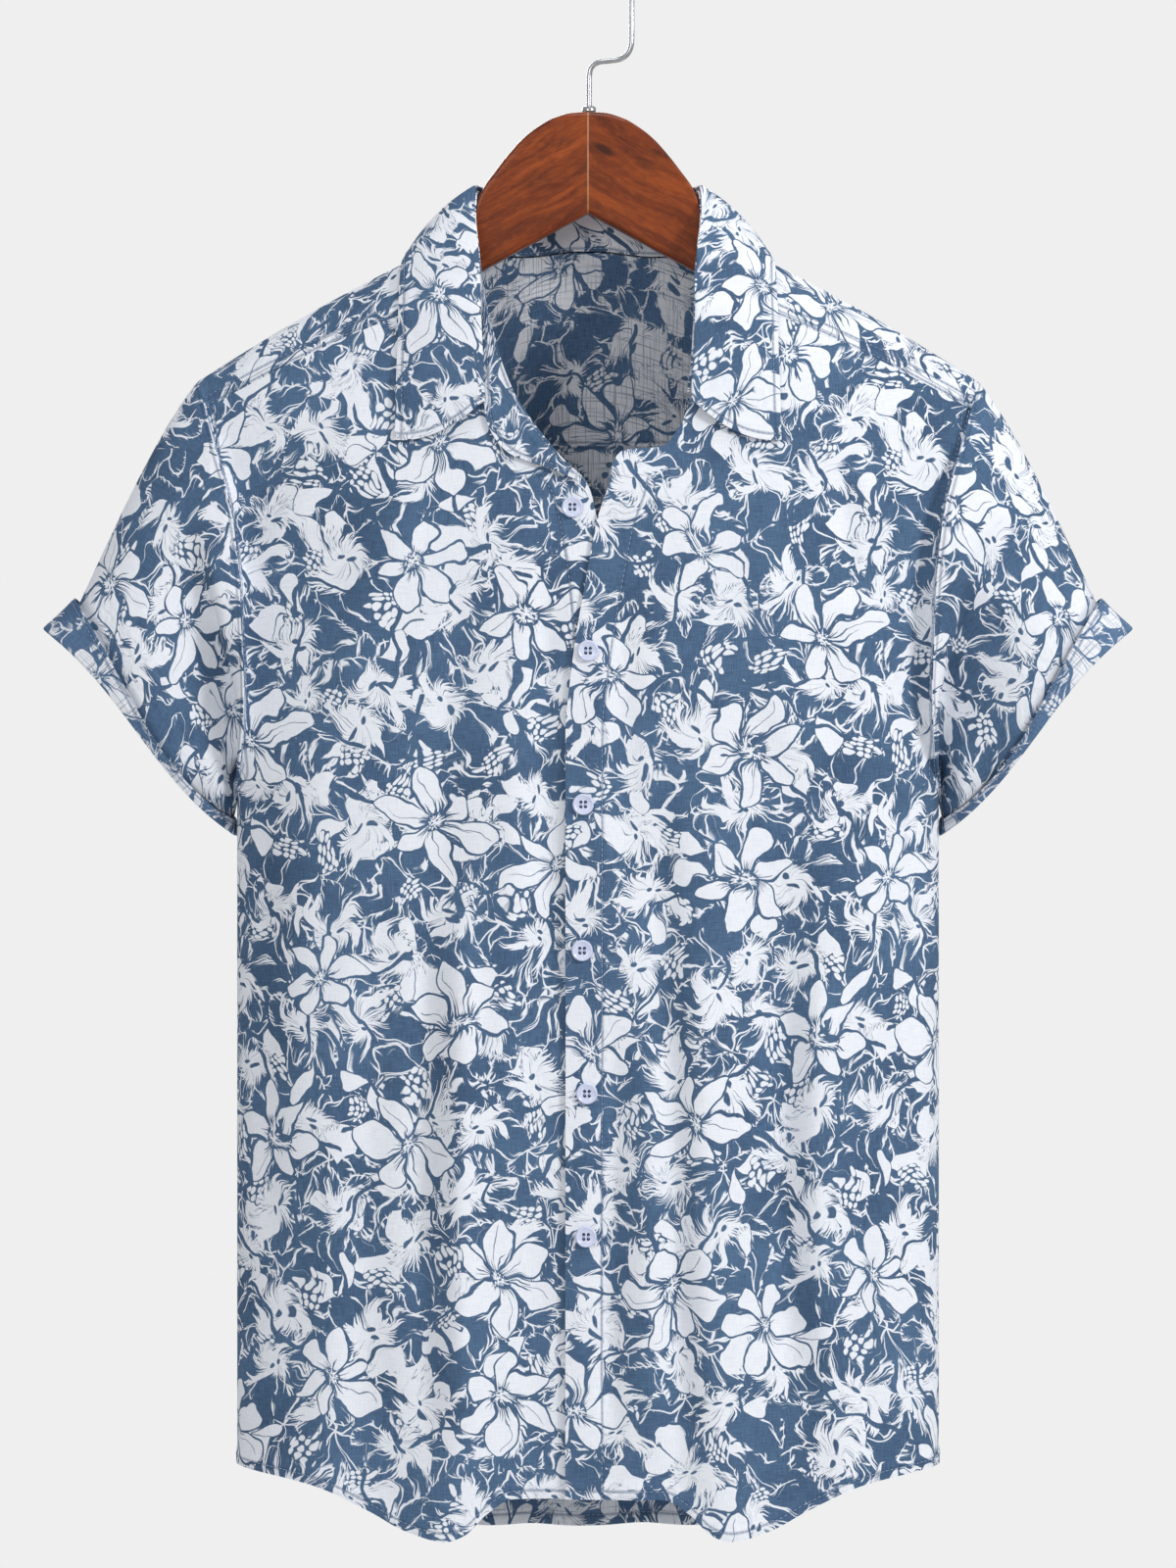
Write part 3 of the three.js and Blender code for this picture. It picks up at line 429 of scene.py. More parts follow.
def facing(grid, towards, closed=False):
    """Normals of a grid, and the sign that turns them towards a direction or away from a line."""
    cross = normals(grid, closed)
    sign = 1.0 if (cross * towards).sum() > 0 else -1.0
    return cross * sign, sign


def nearer(distance, lines):
    """Distance to the nearer of two stitched lines, from the distance to their edge."""
    first, second = distance - lines[0], distance - lines[1]
    return np.where(np.abs(first) < np.abs(second), first, second)


def hem_band(from_hem):
    """1 on the turned hem, 0 above it."""
    return smooth((HEM_BAND - from_hem) / HEM_STEP)


def round_quads(rows, cols):
    """Quads between each ring of points and the next, closed round."""
    i, j = np.meshgrid(np.arange(rows - 1), np.arange(cols), indexing="ij")
    after = (j + 1) % cols
    ring = [i * cols + j, (i + 1) * cols + j, (i + 1) * cols + after, i * cols + after]
    return np.stack(ring, -1).reshape(-1, 4)


def make(name, points, quads, finishes, corners=None, choice=None, sharp=40):
    """A mesh from arrays: points in mm, four corners a face, UV layers by corner, finish by face."""
    mesh = bpy.data.meshes.new(name)
    placed = (np.asarray(points) - (0, 0, CROWN_RISE)) * MM
    mesh.from_pydata(placed.tolist(), [], np.asarray(quads).tolist())
    for layer, values in (corners or {}).items():
        uv = mesh.uv_layers.new(name=layer)
        uv.data.foreach_set("uv", np.asarray(values, np.float32).ravel())
    for finish in finishes:
        mesh.materials.append(finish.material)
    if choice is not None:
        mesh.polygons.foreach_set("material_index", np.asarray(choice, np.int32))
    mesh.polygons.foreach_set("use_smooth", np.ones(len(quads), bool))
    mesh.update()
    mesh.set_sharp_from_angle(angle=math.radians(sharp))
    made = bpy.data.objects.new(name, mesh)
    bpy.context.collection.objects.link(made)
    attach(made, "root")
    return made


def shell(name, grid, flat, towards, finishes, closed=False, seams=None, thick=CLOTH, inner=1):
    """Thin wall on a grid: both faces half the thickness off it, and a rim round the open edges.

    flat and seams are laid on every face: the place in the cut cloth and the distances to its
    stitched lines. inner is the finish of the inner face, or an array of it by face.
    """
    rows, cols = grid.shape[:2]
    out, sign = facing(grid, towards, closed)
    half = 0.5 * (thick if np.ndim(thick) == 0 else np.asarray(thick)[..., None])
    real = cols - 1 if closed else cols
    layers = [grid + out * half, grid - out * half]
    points = np.concatenate([layer[:, :real].reshape(-1, 3) for layer in layers])
    i, j = np.meshgrid(np.arange(rows - 1), np.arange(cols - 1), indexing="ij")
    ring = [(i, j), (i + 1, j), (i + 1, j + 1), (i, j + 1)]
    face = np.stack([np.stack([a, b], -1).reshape(-1, 2) for a, b in ring], 1)
    top = np.concatenate([face, np.zeros_like(face[..., :1])], -1)
    low = np.concatenate([face[:, ::-1], np.ones_like(face[..., :1])], -1)
    rims = []
    edges = [(np.zeros(cols - 1, int), np.arange(cols - 1), 0, 1)]
    edges.append((np.full(cols - 1, rows - 1), np.arange(cols - 1)[::-1] + 1, 0, -1))
    if not closed:
        edges.append((np.arange(rows - 1)[::-1] + 1, np.zeros(rows - 1, int), -1, 0))
        edges.append((np.arange(rows - 1), np.full(rows - 1, cols - 1), 1, 0))
    for a, b, da, db in edges:
        corner = [(a, b, 0), (a + da, b + db, 0), (a + da, b + db, 1), (a, b, 1)]
        rims.append(np.stack([np.stack([p, q, np.full(len(p), k)], -1) for p, q, k in corner], 1))
    rim = np.concatenate(rims)
    if sign < 0:
        top, low, rim = top[:, ::-1], low[:, ::-1], rim[:, ::-1]
    every = np.concatenate([top, low, rim])
    quads = every[..., 2] * rows * real + every[..., 0] * real + every[..., 1] % real
    corners = {"cloth": flat[every[..., 0], every[..., 1]].reshape(-1, 2) / 100}
    line = np.full((rows, cols, 2), NO_LINE) if seams is None else seams
    corners["seams"] = line[every[..., 0], every[..., 1]].reshape(-1, 2)
    inner_choice = np.broadcast_to(np.asarray(inner), (rows - 1, cols - 1)).ravel()
    choice = np.concatenate([np.zeros(len(top), int), inner_choice, np.zeros(len(rim), int)])
    return make(name, points, quads, finishes, corners, choice)


def flat_cut(grid, axis, middle=None):
    """Place in the cut cloth: along an axis, and the length round it from the middle column."""
    axis = np.asarray(axis, float) / np.linalg.norm(axis)
    steps = np.diff(grid, axis=1)
    lengths = np.sqrt(np.maximum((steps**2).sum(-1) - (steps @ axis) ** 2, 0))
    across = np.concatenate([np.zeros((len(grid), 1)), np.cumsum(lengths, 1)], 1)
    if middle is not None:
        across = across - across[:, middle : middle + 1]
    return np.stack([across, grid @ axis], -1)


def trace(grid, out, value, level, lift, by_row=True):
    """Line on a grid where a value first passes a level in each row (or column), a little off it."""
    if not by_row:
        grid, out, value = grid.swapaxes(0, 1), out.swapaxes(0, 1), value.T
    above = value > level
    k = above.argmax(1)
    rows = np.flatnonzero((k > 0) & above.any(1))
    k = k[rows]
    before, after = value[rows, k - 1], value[rows, k]
    t = ((level - before) / (after - before))[:, None]
    place = lerp(grid[rows, k - 1], grid[rows, k], t)
    normal = lerp(out[rows, k - 1], out[rows, k], t)
    return place + normal * lift, normal


# Finishes
FULL_TURN = 6.2832


def linear(code):
    """Linear colour of a screen colour written as a hex number."""
    parts = [((code >> shift) & 255) / 255 for shift in (16, 8, 0)]
    return tuple(c / 12.92 if c <= 0.04045 else ((c + 0.055) / 1.055) ** 2.4 for c in parts) + (1,)


class Wire:
    """A value in a finish's nodes; arithmetic on it adds Math nodes."""

    def __init__(self, nodes, socket):
        self.nodes, self.socket = nodes, socket

    def math(self, operation, *others, clamp=False):
        """A Math node on this value and the others."""
        settings = {"operation": operation, "use_clamp": clamp}
        return self.nodes.add("ShaderNodeMath", settings, dict(enumerate((self, *others))))

    def other(self, name):
        """Another output of the node that this value comes from."""
        return Wire(self.nodes, self.socket.node.outputs[name])

    def flipped(self, operation, first):
        """A Math node with a plain number ahead of this value."""
        return self.nodes.add("ShaderNodeMath", {"operation": operation}, {0: first, 1: self})

    def __add__(self, b):
        return self.math("ADD", b)

    __radd__ = __add__

    def __sub__(self, b):
        return self.math("SUBTRACT", b)

    def __rsub__(self, a):
        return self.flipped("SUBTRACT", a)

    def __mul__(self, b):
        return self.math("MULTIPLY", b)

    __rmul__ = __mul__

    def __truediv__(self, b):
        return self.math("DIVIDE", b)

    def __rtruediv__(self, a):
        return self.flipped("DIVIDE", a)

    def __pow__(self, b):
        return self.math("POWER", b)

    def __abs__(self):
        return self.math("ABSOLUTE")

    def at_least(self, b):
        """The larger of this value and b."""
        return self.math("MAXIMUM", b)

    def at_most(self, b):
        """The smaller of this value and b."""
        return self.math("MINIMUM", b)

    def clamped(self):
        """This value held between 0 and 1."""
        return self.math("ADD", 0.0, clamp=True)

    def cover(self, soft=0.35):
        """1 where this distance is inside, 0 outside: the distance over soft, plus a half, clamped."""
        return self.nodes.add(
            "ShaderNodeMath",
            {"operation": "MULTIPLY_ADD", "use_clamp": True},
            {0: self, 1: 1 / soft, 2: 0.5},
        )


class Nodes:
    """The nodes of a finish or of the studio's backdrop, emptied first."""

    def __init__(self, tree):
        self.tree = tree
        tree.nodes.clear()

    def feed(self, socket, value):
        """Link a value to a socket, or set the socket to a plain number, colour or vector."""
        if isinstance(value, Wire):
            self.tree.links.new(value.socket, socket)
        else:
            socket.default_value = value

    def add(self, kind, settings, values, out=0):
        """A node of any kind: its settings first, then what its sockets take. Gives one output."""
        node = self.tree.nodes.new(kind)
        for key, value in settings.items():
            setattr(node, key, value)
        for key, value in values.items():
            self.feed(node.inputs[key], value)
        return Wire(self, node.outputs[out]) if len(node.outputs) else None


class Finish(Nodes):
    """A material: a Principled shader, and nodes that feed what changes over the surface."""

    def __init__(self, name, **fixed):
        self.material = bpy.data.materials.new(name)
        self.material.use_nodes = True
        super().__init__(self.material.node_tree)
        surface = self.add("ShaderNodeBsdfPrincipled", {}, {})
        self.shader = surface.socket.node
        self.add("ShaderNodeOutputMaterial", {}, {"Surface": surface})
        self.paint(**fixed)

    def paint(self, **values):
        """Feed the shader's inputs, named with _ for spaces."""
        for socket, value in values.items():
            self.feed(self.shader.inputs[socket.replace("_", " ")], value)

    def own_place(self):
        """Place in the object's own metres."""
        return self.add("ShaderNodeTexCoord", {}, {}, out="Object")

    def laid(self, layer):
        """A UV layer of the piece."""
        return self.add("ShaderNodeUVMap", {"uv_map": layer}, {}, out="UV")

    def mix(self, share, a, b):
        """Colour a with a share of colour b."""
        return self.add("ShaderNodeMix", {"data_type": "RGBA"}, {0: share, 6: a, 7: b}, out=2)

    def vector(self, operation, *values, out=0):
        """A Vector Math node."""
        return self.add("ShaderNodeVectorMath", {"operation": operation}, dict(enumerate(values)), out)

    def scaled(self, vector, amount):
        """A vector times a number."""
        return self.add("ShaderNodeVectorMath", {"operation": "SCALE"}, {0: vector, "Scale": amount})

    def turned(self, vector, angle):
        """A vector turned about Z by an angle in radians."""
        settings = {"rotation_type": "Z_AXIS"}
        return self.add("ShaderNodeVectorRotate", settings, {"Vector": vector, "Angle": angle})

    def split(self, vector):
        """The three parts of a vector or colour."""
        x = self.add("ShaderNodeSeparateXYZ", {}, {0: vector})
        return x, x.other("Y"), x.other("Z")

    def join(self, x, y, z=0.0):
        """A vector of three parts."""
        return self.add("ShaderNodeCombineXYZ", {}, {0: x, 1: y, 2: z})

    def noise(self, place, scale, detail=1.0, rough=0.5, flat=True, out="Fac"):
        """Soft noise about a half, with scale swells in each unit of the place."""
        settings = {"noise_dimensions": "2D" if flat else "3D"}
        values = {"Vector": place, "Scale": scale, "Detail": detail, "Roughness": rough}
        return self.add("ShaderNodeTexNoise", settings, values, out)

    def cells(self, place, looseness, out, feature="F1"):
        """Cells one unit wide, each about its own middle, on a square grid loosened by a share."""
        settings = {"voronoi_dimensions": "2D", "feature": feature}
        values = {"Vector": place, "Scale": 1.0, "Randomness": looseness}
        return self.add("ShaderNodeTexVoronoi", settings, values, out)

    def bump(self, height):
        """Normal of a relief whose height is in mm."""
        return self.add("ShaderNodeBump", {}, {"Height": height, "Distance": MM, "Strength": 1.0})


# The print, in mm of cloth. Each kind of motif: its cell, its cells' shift and how loosely they lie.
BEHIND = (43, (0.1, 0.72), 0.62)
BRISTLY = (47, (0.55, 0.2), 0.62)
WHORLS = (52, (0.31, 0.77), 0.8)
SPRAYS = (49, (0.1, 0.4), 0.75)
BROAD = (96, (0.9, 0.65), 0.55)
PRINT_LEAF, BROAD_PETAL = 21.0, 31.0  # lengths
BUD_CELL, BUD_SPREAD, BUD_CLUSTER = (3.2, 4.8), (3.2, 4.4), 8.2
BROAD_HEART = 6.2
PRINT_TURN = 0.55  # how far the whole print is turned on the cloth, in radians
PRINT_SWAY = ((26, 19), (6.5, 1.7))  # the swells that bend its outlines: size, and how far they push


def scatter(f, place, cell, shift, looseness):
    """Motifs' own places: mm from the nearest cell's middle, turned at random, and its chances."""
    grid = f.vector("MULTIPLY_ADD", place, (1 / cell, 1 / cell, 0), (*shift, 0))
    middle = f.cells(grid, looseness, "Position")
    chance = f.split(middle.other("Color"))
    off = f.turned(f.scaled(f.vector("SUBTRACT", grid, middle), cell), chance[0] * FULL_TURN)
    x, y, _ = f.split(off)
    return {
        "grid": grid,
        "place": off,
        "x": x,
        "y": y,
        "radius": f.vector("LENGTH", off, out="Value"),
        "angle": y.math("ARCTAN2", x),
        "way": f.vector("NORMALIZE", off),
        "chance": chance[1],
    }


def petals(f, m, count, reach, spread, blunt, point, leaf=False):
    """Distance in mm into a petal: half its angle less the place's own, times the radius.

    Each sector's petal leans, and is a share of its own of the motif's length there, up to 1.12
    times the reach. Its half angle closes towards the tip as (1 - share of length ** blunt) **
    point, or at both ends for a leaf.
    """
    sector = m["angle"] * (count / FULL_TURN) + 50  # 50 keeps the sector's number above zero
    own = f.add(
        "ShaderNodeTexWhiteNoise",
        {"noise_dimensions": "2D"},
        {"Vector": f.join(sector.math("FLOOR").math("MODULO", count), m["chance"] * 99)},
        out="Value",
    )
    share = m["radius"] / (m["length"] * (own * (0.36 * reach) + 0.76 * reach))
    lean = sector.math("FRACT") - 0.5 + (share * 3.1 + own * 9).math("SINE") * 0.08
    closing = 1 - (share * 2 - 1) ** 2 if leaf else 1 - share**blunt
    half = closing.at_least(0) ** point * spread
    inside = (half - abs(lean)) * m["radius"] * (FULL_TURN / count)
    return inside, share, own, lean


def rays(f, m, scale, turned_by=None, chances=40, **kind):
    """Noise that changes with the way out of a motif's middle, so it makes rays, each its own."""
    way = m["way"] if turned_by is None else f.turned(m["way"], turned_by)
    seed = f.vector("ADD", way, f.join(0.0, 0.0, m["chance"] * chances))
    return f.noise(seed, scale, flat=False, **kind)


def bristly(f, place, kind, stroke, solid):
    """Bristly flowers side by side: outlined petals out to the neighbours', and a solid heart whose
    rim is spiky and runs out into a few swirling arms, with two dark hollows.

    A petal's share of length is its radius over its radius plus the way left to the next flower.
    Petals whose own chance is above solid are filled.
    """
    m = scatter(f, place, *kind)
    radius = m["radius"]
    border = f.cells(m["grid"], kind[2], "Distance", feature="DISTANCE_TO_EDGE")
    m["length"] = radius + border * kind[0]
    inside, share, own, _ = petals(f, m, 5, 1.08, 0.47, 2.6, 0.75)
    lines = (stroke - abs(inside)).cover() * (1 - share).cover(0.03)
    filled = (inside - 0.2).cover() * own.math("GREATER_THAN", solid)
    comb = (rays(f, m, 15.0, chances=70) - 0.55).cover(0.03)
    comb = comb * (2.4 - abs(inside - 1.0)).cover(1.2) * (share - 0.66).cover(0.1)
    inner = comb * (0.99 - share).cover(0.03)
    print_ = lines.at_least(filled).at_least(inner)
    swirl = radius * 0.05
    bristle = rays(f, m, 12.0, swirl, rough=0.6)
    lobes = rays(f, m, 1.7, swirl, detail=0.0)
    spikes = ((bristle - 0.33) * 3).clamped()
    arms = ((lobes - 0.55) * 6).clamped()
    depth = spikes * 8 + arms * 11 + 6 - radius
    hollow_a = (m["x"] - 1.4) ** 2 / 1.8 + (m["y"] - 3.0) ** 2 / 7
    hollow_b = (m["x"] + 1.8) ** 2 / 1.5 + (m["y"] + 2.2) ** 2 / 5
    hollow = (1 - hollow_a.at_most(hollow_b)).cover(0.5)
    slits = (0.36 - bristle).cover(0.03) * (9 - radius).cover(3) * (radius - 3).cover(2)
    return print_, inside, depth, depth.cover(0.45) * (1 - hollow.at_least(slits))


def leaves(f, place):
    """Distance into the leaves: up to four in a whorl, each left out by its own chance."""
    whorl = scatter(f, place, *WHORLS)
    whorl["length"] = PRINT_LEAF
    inside, _, own, _ = petals(f, whorl, 4, 1.0, 0.28, 2, 0.8, leaf=True)
    return inside - own.math("LESS_THAN", 0.68) * 99


def buds(f, place):
    """Small ovals in round clusters, and the clusters' own cover."""
    spray = scatter(f, place, *SPRAYS)
    ovals = f.vector("MULTIPLY", spray["place"], (1 / BUD_CELL[0], 1 / BUD_CELL[1], 0))
    oval = f.cells(ovals, 0.35, "Distance")
    middle = f.vector("MULTIPLY", oval.other("Position"), (*BUD_SPREAD, 0))
    cluster = (BUD_CLUSTER - f.vector("LENGTH", middle, out="Value")).cover()
    return (0.42 - oval).cover(0.1) * cluster, cluster


def broad_flowers(f, place):
    """Six broad petals with veins and a crease, a frayed heart, and the clear band round them."""
    flower = scatter(f, place, *BROAD)
    flower["length"] = BROAD_PETAL
    radius = flower["radius"]
    petal, share, own, lean = petals(f, flower, 6, 1.0, 0.46, 2.7, 0.8)
    veins = (0.7 - share * 0.85 - rays(f, flower, 12.0)).cover(0.04)
    crease = (0.2 - abs(lean - 0.1 * (share * 5 + own * 6).math("SINE")) * radius).cover(0.3)
    crease = crease * (0.85 - share).cover(0.05) * (share - 0.3).cover(0.05)
    crease = crease * own.math("GREATER_THAN", 0.6)
    heart = (rays(f, flower, 5.0) * 14 - 2.8 - radius).cover(0.4)
    specks = (f.noise(flower["place"], 1 / 2.0) - 0.58).cover(0.05)
    broad = (petal - 0.35).cover() * (1 - veins) * (1 - crease) * (radius - BROAD_HEART).cover(0.5)
    clear = (petal + 1.3).cover().at_least((BROAD_HEART + 2.4 - radius).cover())
    return broad.at_least(heart * (1 - specks)), clear


def floral(f, place):
    """Share of print at a place in the cut: bristly flowers in abutting outlined petals, with more
    outlines behind them, then leaves and buds, then the flowers' hearts, and broad flowers on top."""
    start = f.turned(place, PRINT_TURN)
    place = start
    for size, push in PRINT_SWAY:
        sway = f.vector("SUBTRACT", f.noise(start, 1 / size, out="Color"), (0.5, 0.5, 0.5))
        place = f.vector("MULTIPLY_ADD", sway, (push, push, 0), place)
    stroke = f.noise(place, 1 / 9) * 0.8 + 0.07
    behind = bristly(f, place, BEHIND, stroke, 1.0)[0]
    print_, petal, near, hearts = bristly(f, place, BRISTLY, stroke, 0.9)
    print_ = print_.at_least(behind * (1 - (petal + 0.4).cover()))
    leaf = leaves(f, place)
    print_ = (print_ * (1 - (leaf + 0.8).cover())).at_least(leaf.cover())
    bud, cluster = buds(f, place)
    print_ = (print_ * (1 - cluster)).at_least(bud)
    print_ = (print_ * (1 - (near + 1.0).cover())).at_least(hearts)
    broad, clear = broad_flowers(f, place)
    return (print_ * (1 - clear)).at_least(broad)


def cloth(name, codes, wrong):
    """Printed plain weave: slubs run both ways, threads show as fine relief, seams pucker, and painted
    shade darkens their grooves.

    codes are the ground's deep and light tones and the print's two; the wrong side is paler, and
    threads of the ground run through its print.
    """
    f = Finish(name, Roughness=0.86, Specular_IOR_Level=0.25)
    deep, light, pale_low, pale_high = map(linear, codes)
    place = f.scaled(f.laid("cloth"), 100.0)
    print_ = floral(f, place)
    across, down, _ = f.split(place)
    warp = f.noise(f.join(across * 2.1, down * 0.13), 1.0, detail=2.0)
    weft = f.noise(f.join(across * 0.13, down * 2.1), 1.0, detail=2.0)
    slub = (warp + weft - 1) * 1.3 + 0.5
    clouds = f.noise(place, 1 / 55, detail=2.0) - 0.5
    ground = f.mix((slub + clouds).clamped(), deep, light)
    pale = f.mix((slub + 0.15).clamped(), pale_low, pale_high)
    colour = f.mix(print_ * (0.97 if not wrong else 0.93), ground, pale)
    if wrong:
        line_up = f.noise(f.join(across * 0.95, down * 0.02), 1.0, detail=2.0, rough=0.7) - 0.61
        line_on = f.noise(f.join(across * 0.02, down * 0.95), 1.0, detail=2.0, rough=0.7) - 0.61
        grid = line_up.cover(0.05).at_least(line_on.cover(0.05))
        colour = f.mix(grid * (print_ * 0.42 + 0.12), colour, deep)
    near_a, near_b, _ = f.split(f.laid("seams"))
    near = abs(near_a).at_most(abs(near_b))
    groove_and_shade = (0.75 - near).cover(0.9)
    pucker = f.noise(f.join(across * 0.22, down * 0.22), 1.0, detail=1.0) * (5 - near).cover(5)
    # painted shade: the cloth darkens towards the deep ground tone in the sunken line along each
    # stitched line
    colour = f.mix(groove_and_shade * 0.45, colour, deep)
    weave = (across * 11.4).math("SINE") * (down * 11.4).math("SINE")
    height = weave * 0.03 + slub * 0.07 - groove_and_shade * 0.28 + pucker * 0.7
    f.paint(Base_Color=colour, Normal=f.bump(height))
    return f


def thread():
    """Sewing thread: speckled finely between two blues, with a soft sheen."""
    f = Finish("thread", Roughness=0.7, Sheen_Weight=0.3)
    tone = f.noise(f.own_place(), 900.0, detail=2.0, flat=False)
    f.paint(Base_Color=f.mix(tone, linear(0x6E8FB8), linear(0xB4C4DE)))
    return f


def pearl():
    """Pearly button plastic: faint clouds under a clear coat, and in the sewing holes a dark blue for
    the cloth seen through them in painted shade.
    """
    f = Finish("pearl_button", Roughness=0.28, Coat_Weight=0.5, Coat_Roughness=0.12)
    clouds = f.noise(f.own_place(), 260.0, detail=3.0, flat=False)
    hole = f.add("ShaderNodeAttribute", {"attribute_name": "hole"}, {}, out="Fac")
    shell_colour = f.mix(clouds, linear(0xBFC8EA), linear(0xE6EAF8))
    # painted shade: the sunk sewing holes take a dark blue, the cloth below them as if shaded by the
    # holes' walls
    f.paint(Base_Color=f.mix(hole, shell_colour, linear(0x2E4468)))
    return f


ARM_COS, ARM_SIN = 0.878, 0.478  # fall of the hanger's arms
KNOT_RUN, KNOT_ACROSS, KNOT_LONG, KNOT_TALL = 64.882, -100.482, 9, 3.4
HALVES_APART = 37


def varnished_wood():
    """Reddish hardwood: fibres along each arm, darker growth bands, flecks, bright streaks that are
    partly painted varnish highlights, and a clear varnish.

    run is the way along an arm and across the way over its grain, in mm; the two halves read the
    same noise far apart.
    """
    f = Finish("varnished_wood", Coat_Weight=0.32, Coat_Roughness=0.12, Specular_IOR_Level=0.2)
    at = f.own_place()
    x, y, z = f.split(f.scaled(at, 1000.0))
    side = abs(x)
    run = side * ARM_COS - z * ARM_SIN
    across = side * ARM_SIN + z * ARM_COS
    half = x.math("SIGN") * HALVES_APART

    def grain(often, second, third, detail=3.0, rough=0.5):
        """Noise with often swells a mm along the arm, and the other two parts as they are given."""
        place = f.join(run * often, second, third)
        return f.noise(place, 1.0, detail=detail, rough=rough, flat=False)

    bend = grain(0.02, across * 0.05, half, detail=2.0) * 16
    bands = grain(0.012, (across + bend) * 0.16, y * 0.08 + half, detail=4.0, rough=0.62)
    fibres = grain(0.09, across * 2.6, y * 1.4 + half, rough=0.7)
    pores = (grain(0.16, across * 3.4, y * 2 + half, detail=2.0) - 0.6).cover(0.08)
    patches = grain(0.05, across * 0.11, half + 9.0)
    # bright orange streaks: partly the wood's flame figure, partly painted varnish highlights
    flame_and_highlight = grain(0.16, across * 0.3, half + 4.0, rough=0.6)
    knot_run = (run - KNOT_RUN) / KNOT_LONG
    knot_cross = (across - KNOT_ACROSS) / KNOT_TALL
    knot = (1 - (knot_run * knot_run + knot_cross * knot_cross).math("SQRT")).at_least(0)
    knot = knot * x.math("GREATER_THAN", 0.0)
    glue = (0.45 - side).cover(0.3) * f.noise(f.scaled(at, 160.0), 1.0, flat=False)
    base = f.mix(((bands - 0.5) * 2.4 + 0.5).clamped(), linear(0x5A1F07), linear(0xA84F1B))
    layers = [
        (((fibres - 0.42) * 1.6).clamped() * 0.5, 0x86380F),
        (((patches - 0.5) * 3.4).clamped() * 0.62, 0x3E1A0B),
        (((flame_and_highlight - 0.5) * 3).clamped() * 0.35, 0xBC6022),
        (pores * 0.45, 0x3A160B),
        ((knot * 1.8).clamped() * 0.8, 0x220C07),
        (glue * 0.9, 0xD09A66),
    ]
    for share, code in layers:
        base = f.mix(share, base, linear(code))
    rough = fibres * 0.2 + 0.3
    f.paint(Base_Color=base, Roughness=rough, Normal=f.bump(pores * -0.05 + fibres * 0.03))
    return f


def steel_wire():
    """Bright drawn wire: fine scratches round it, a little dulled in patches."""
    f = Finish("steel_wire", Metallic=1.0)
    at = f.own_place()
    scratches = f.noise(f.vector("MULTIPLY", at, (2600, 2600, 500)), 1.0, detail=2.0, flat=False)
    dull = f.noise(at, 160.0, detail=2.0, flat=False)
    colour = f.mix(dull, linear(0xA9ABAE), linear(0xD9DADC))
    f.paint(Base_Color=colour, Roughness=scratches * 0.12 + dull * 0.14 + 0.1)
    return f


CLOTH_RIGHT = cloth("cloth_right", (0x3D5572, 0x5A7797, 0xE4E8F2, 0xF8FAFE), wrong=False)
CLOTH_WRONG = cloth("cloth_wrong", (0x435C7C, 0x6482A4, 0xE8ECF4, 0xFAFBFE), wrong=True)
THREAD, PEARL, WOOD, STEEL = thread(), pearl(), varnished_wood(), steel_wire()
CLOTHS = (CLOTH_RIGHT, CLOTH_WRONG)
SEWN_LINES = []  # points and normals of each line that stitches follow

# Where each piece lies in the printed cloth, so that no two show the same stretch of it.
CLOTH_AT = {
    "front_left": (0, 0),
    "front_right": (331, 57),
    "back": (777, 133),
    "yoke": (105, 402),
    "sleeve_left": (662, 222),
    "sleeve_right": (142, 222),
    "cuff_left": (90, 701),
    "cuff_right": (90, 521),
    "collar_leaf": (1290, 40),
    "collar_stand": (600, 1290),
}


# Fronts
def front_grid(side):
    """One front: rows follow its inner edge down to the armpit, then fan out to the hem.

    Columns u run from the inner edge to the armhole or side seam, closer together at both ends
    and at the placket's stitches.
    """
    inner = FRONT_ROWS["over" if side > 0 else "under"]
    number = np.arange(len(inner))
    fine = np.linspace(0, len(inner) - 1, 1500)
    edge = np.stack([along(number, inner, fine), along(number, FRONT_ROWS["z"], fine)], -1)
    run = arc(edge)
    stops = np.interp(np.linspace(0, run[-1], 115), run, fine)
    t = np.linspace(0, 1, 82)
    spread = 0.55 * t + 0.45 * np.sin(t * np.pi / 2)
    u = np.unique(np.concatenate([spread, np.linspace(0.086, 0.106, 7), [0.004, 0.996]]))[None, :]
    top = FRONT_ROWS["z"][0]
    edge_x = along(number, inner, stops)[:, None]
    edge_z = along(number, FRONT_ROWS["z"], stops)[:, None]
    v = (top - edge_z) / (top - ARMPIT_Z)
    outer_z = lerp(YOKE_OUTER_Z, ARMPIT_Z, v)
    outer_x = outer_edge(-1, outer_z)[0]
    bow = front_seam(u)[2] - lerp(top, YOKE_OUTER_Z, u)
    gap = np.where(v <= 0, SEAM / 2, 0)
    upper_x = lerp(edge_x, outer_x, u)
    upper_z = lerp(edge_z, outer_z, u) + bow * (1 - v) ** 2 - gap
    w = np.linspace(0, 1, 130)[1:, None]
    lower_x = np.broadcast_to(lerp(inner[-1], HALF_WIDTH, u), (len(w), u.shape[1]))
    lower_z = lerp(ARMPIT_Z, along(HEM["x"], HEM["front"], np.abs(lower_x)), w)
    x = side * np.concatenate([upper_x, lower_x])
    z = np.concatenate([upper_z, lower_z])
    grid = body(-1, x, z)
    if side < 0:
        grid[..., 1] += OVERLAP_DROP * smooth((x - OVERLAP_FROM) / OVERLAP_OVER)
    return grid, len(stops)


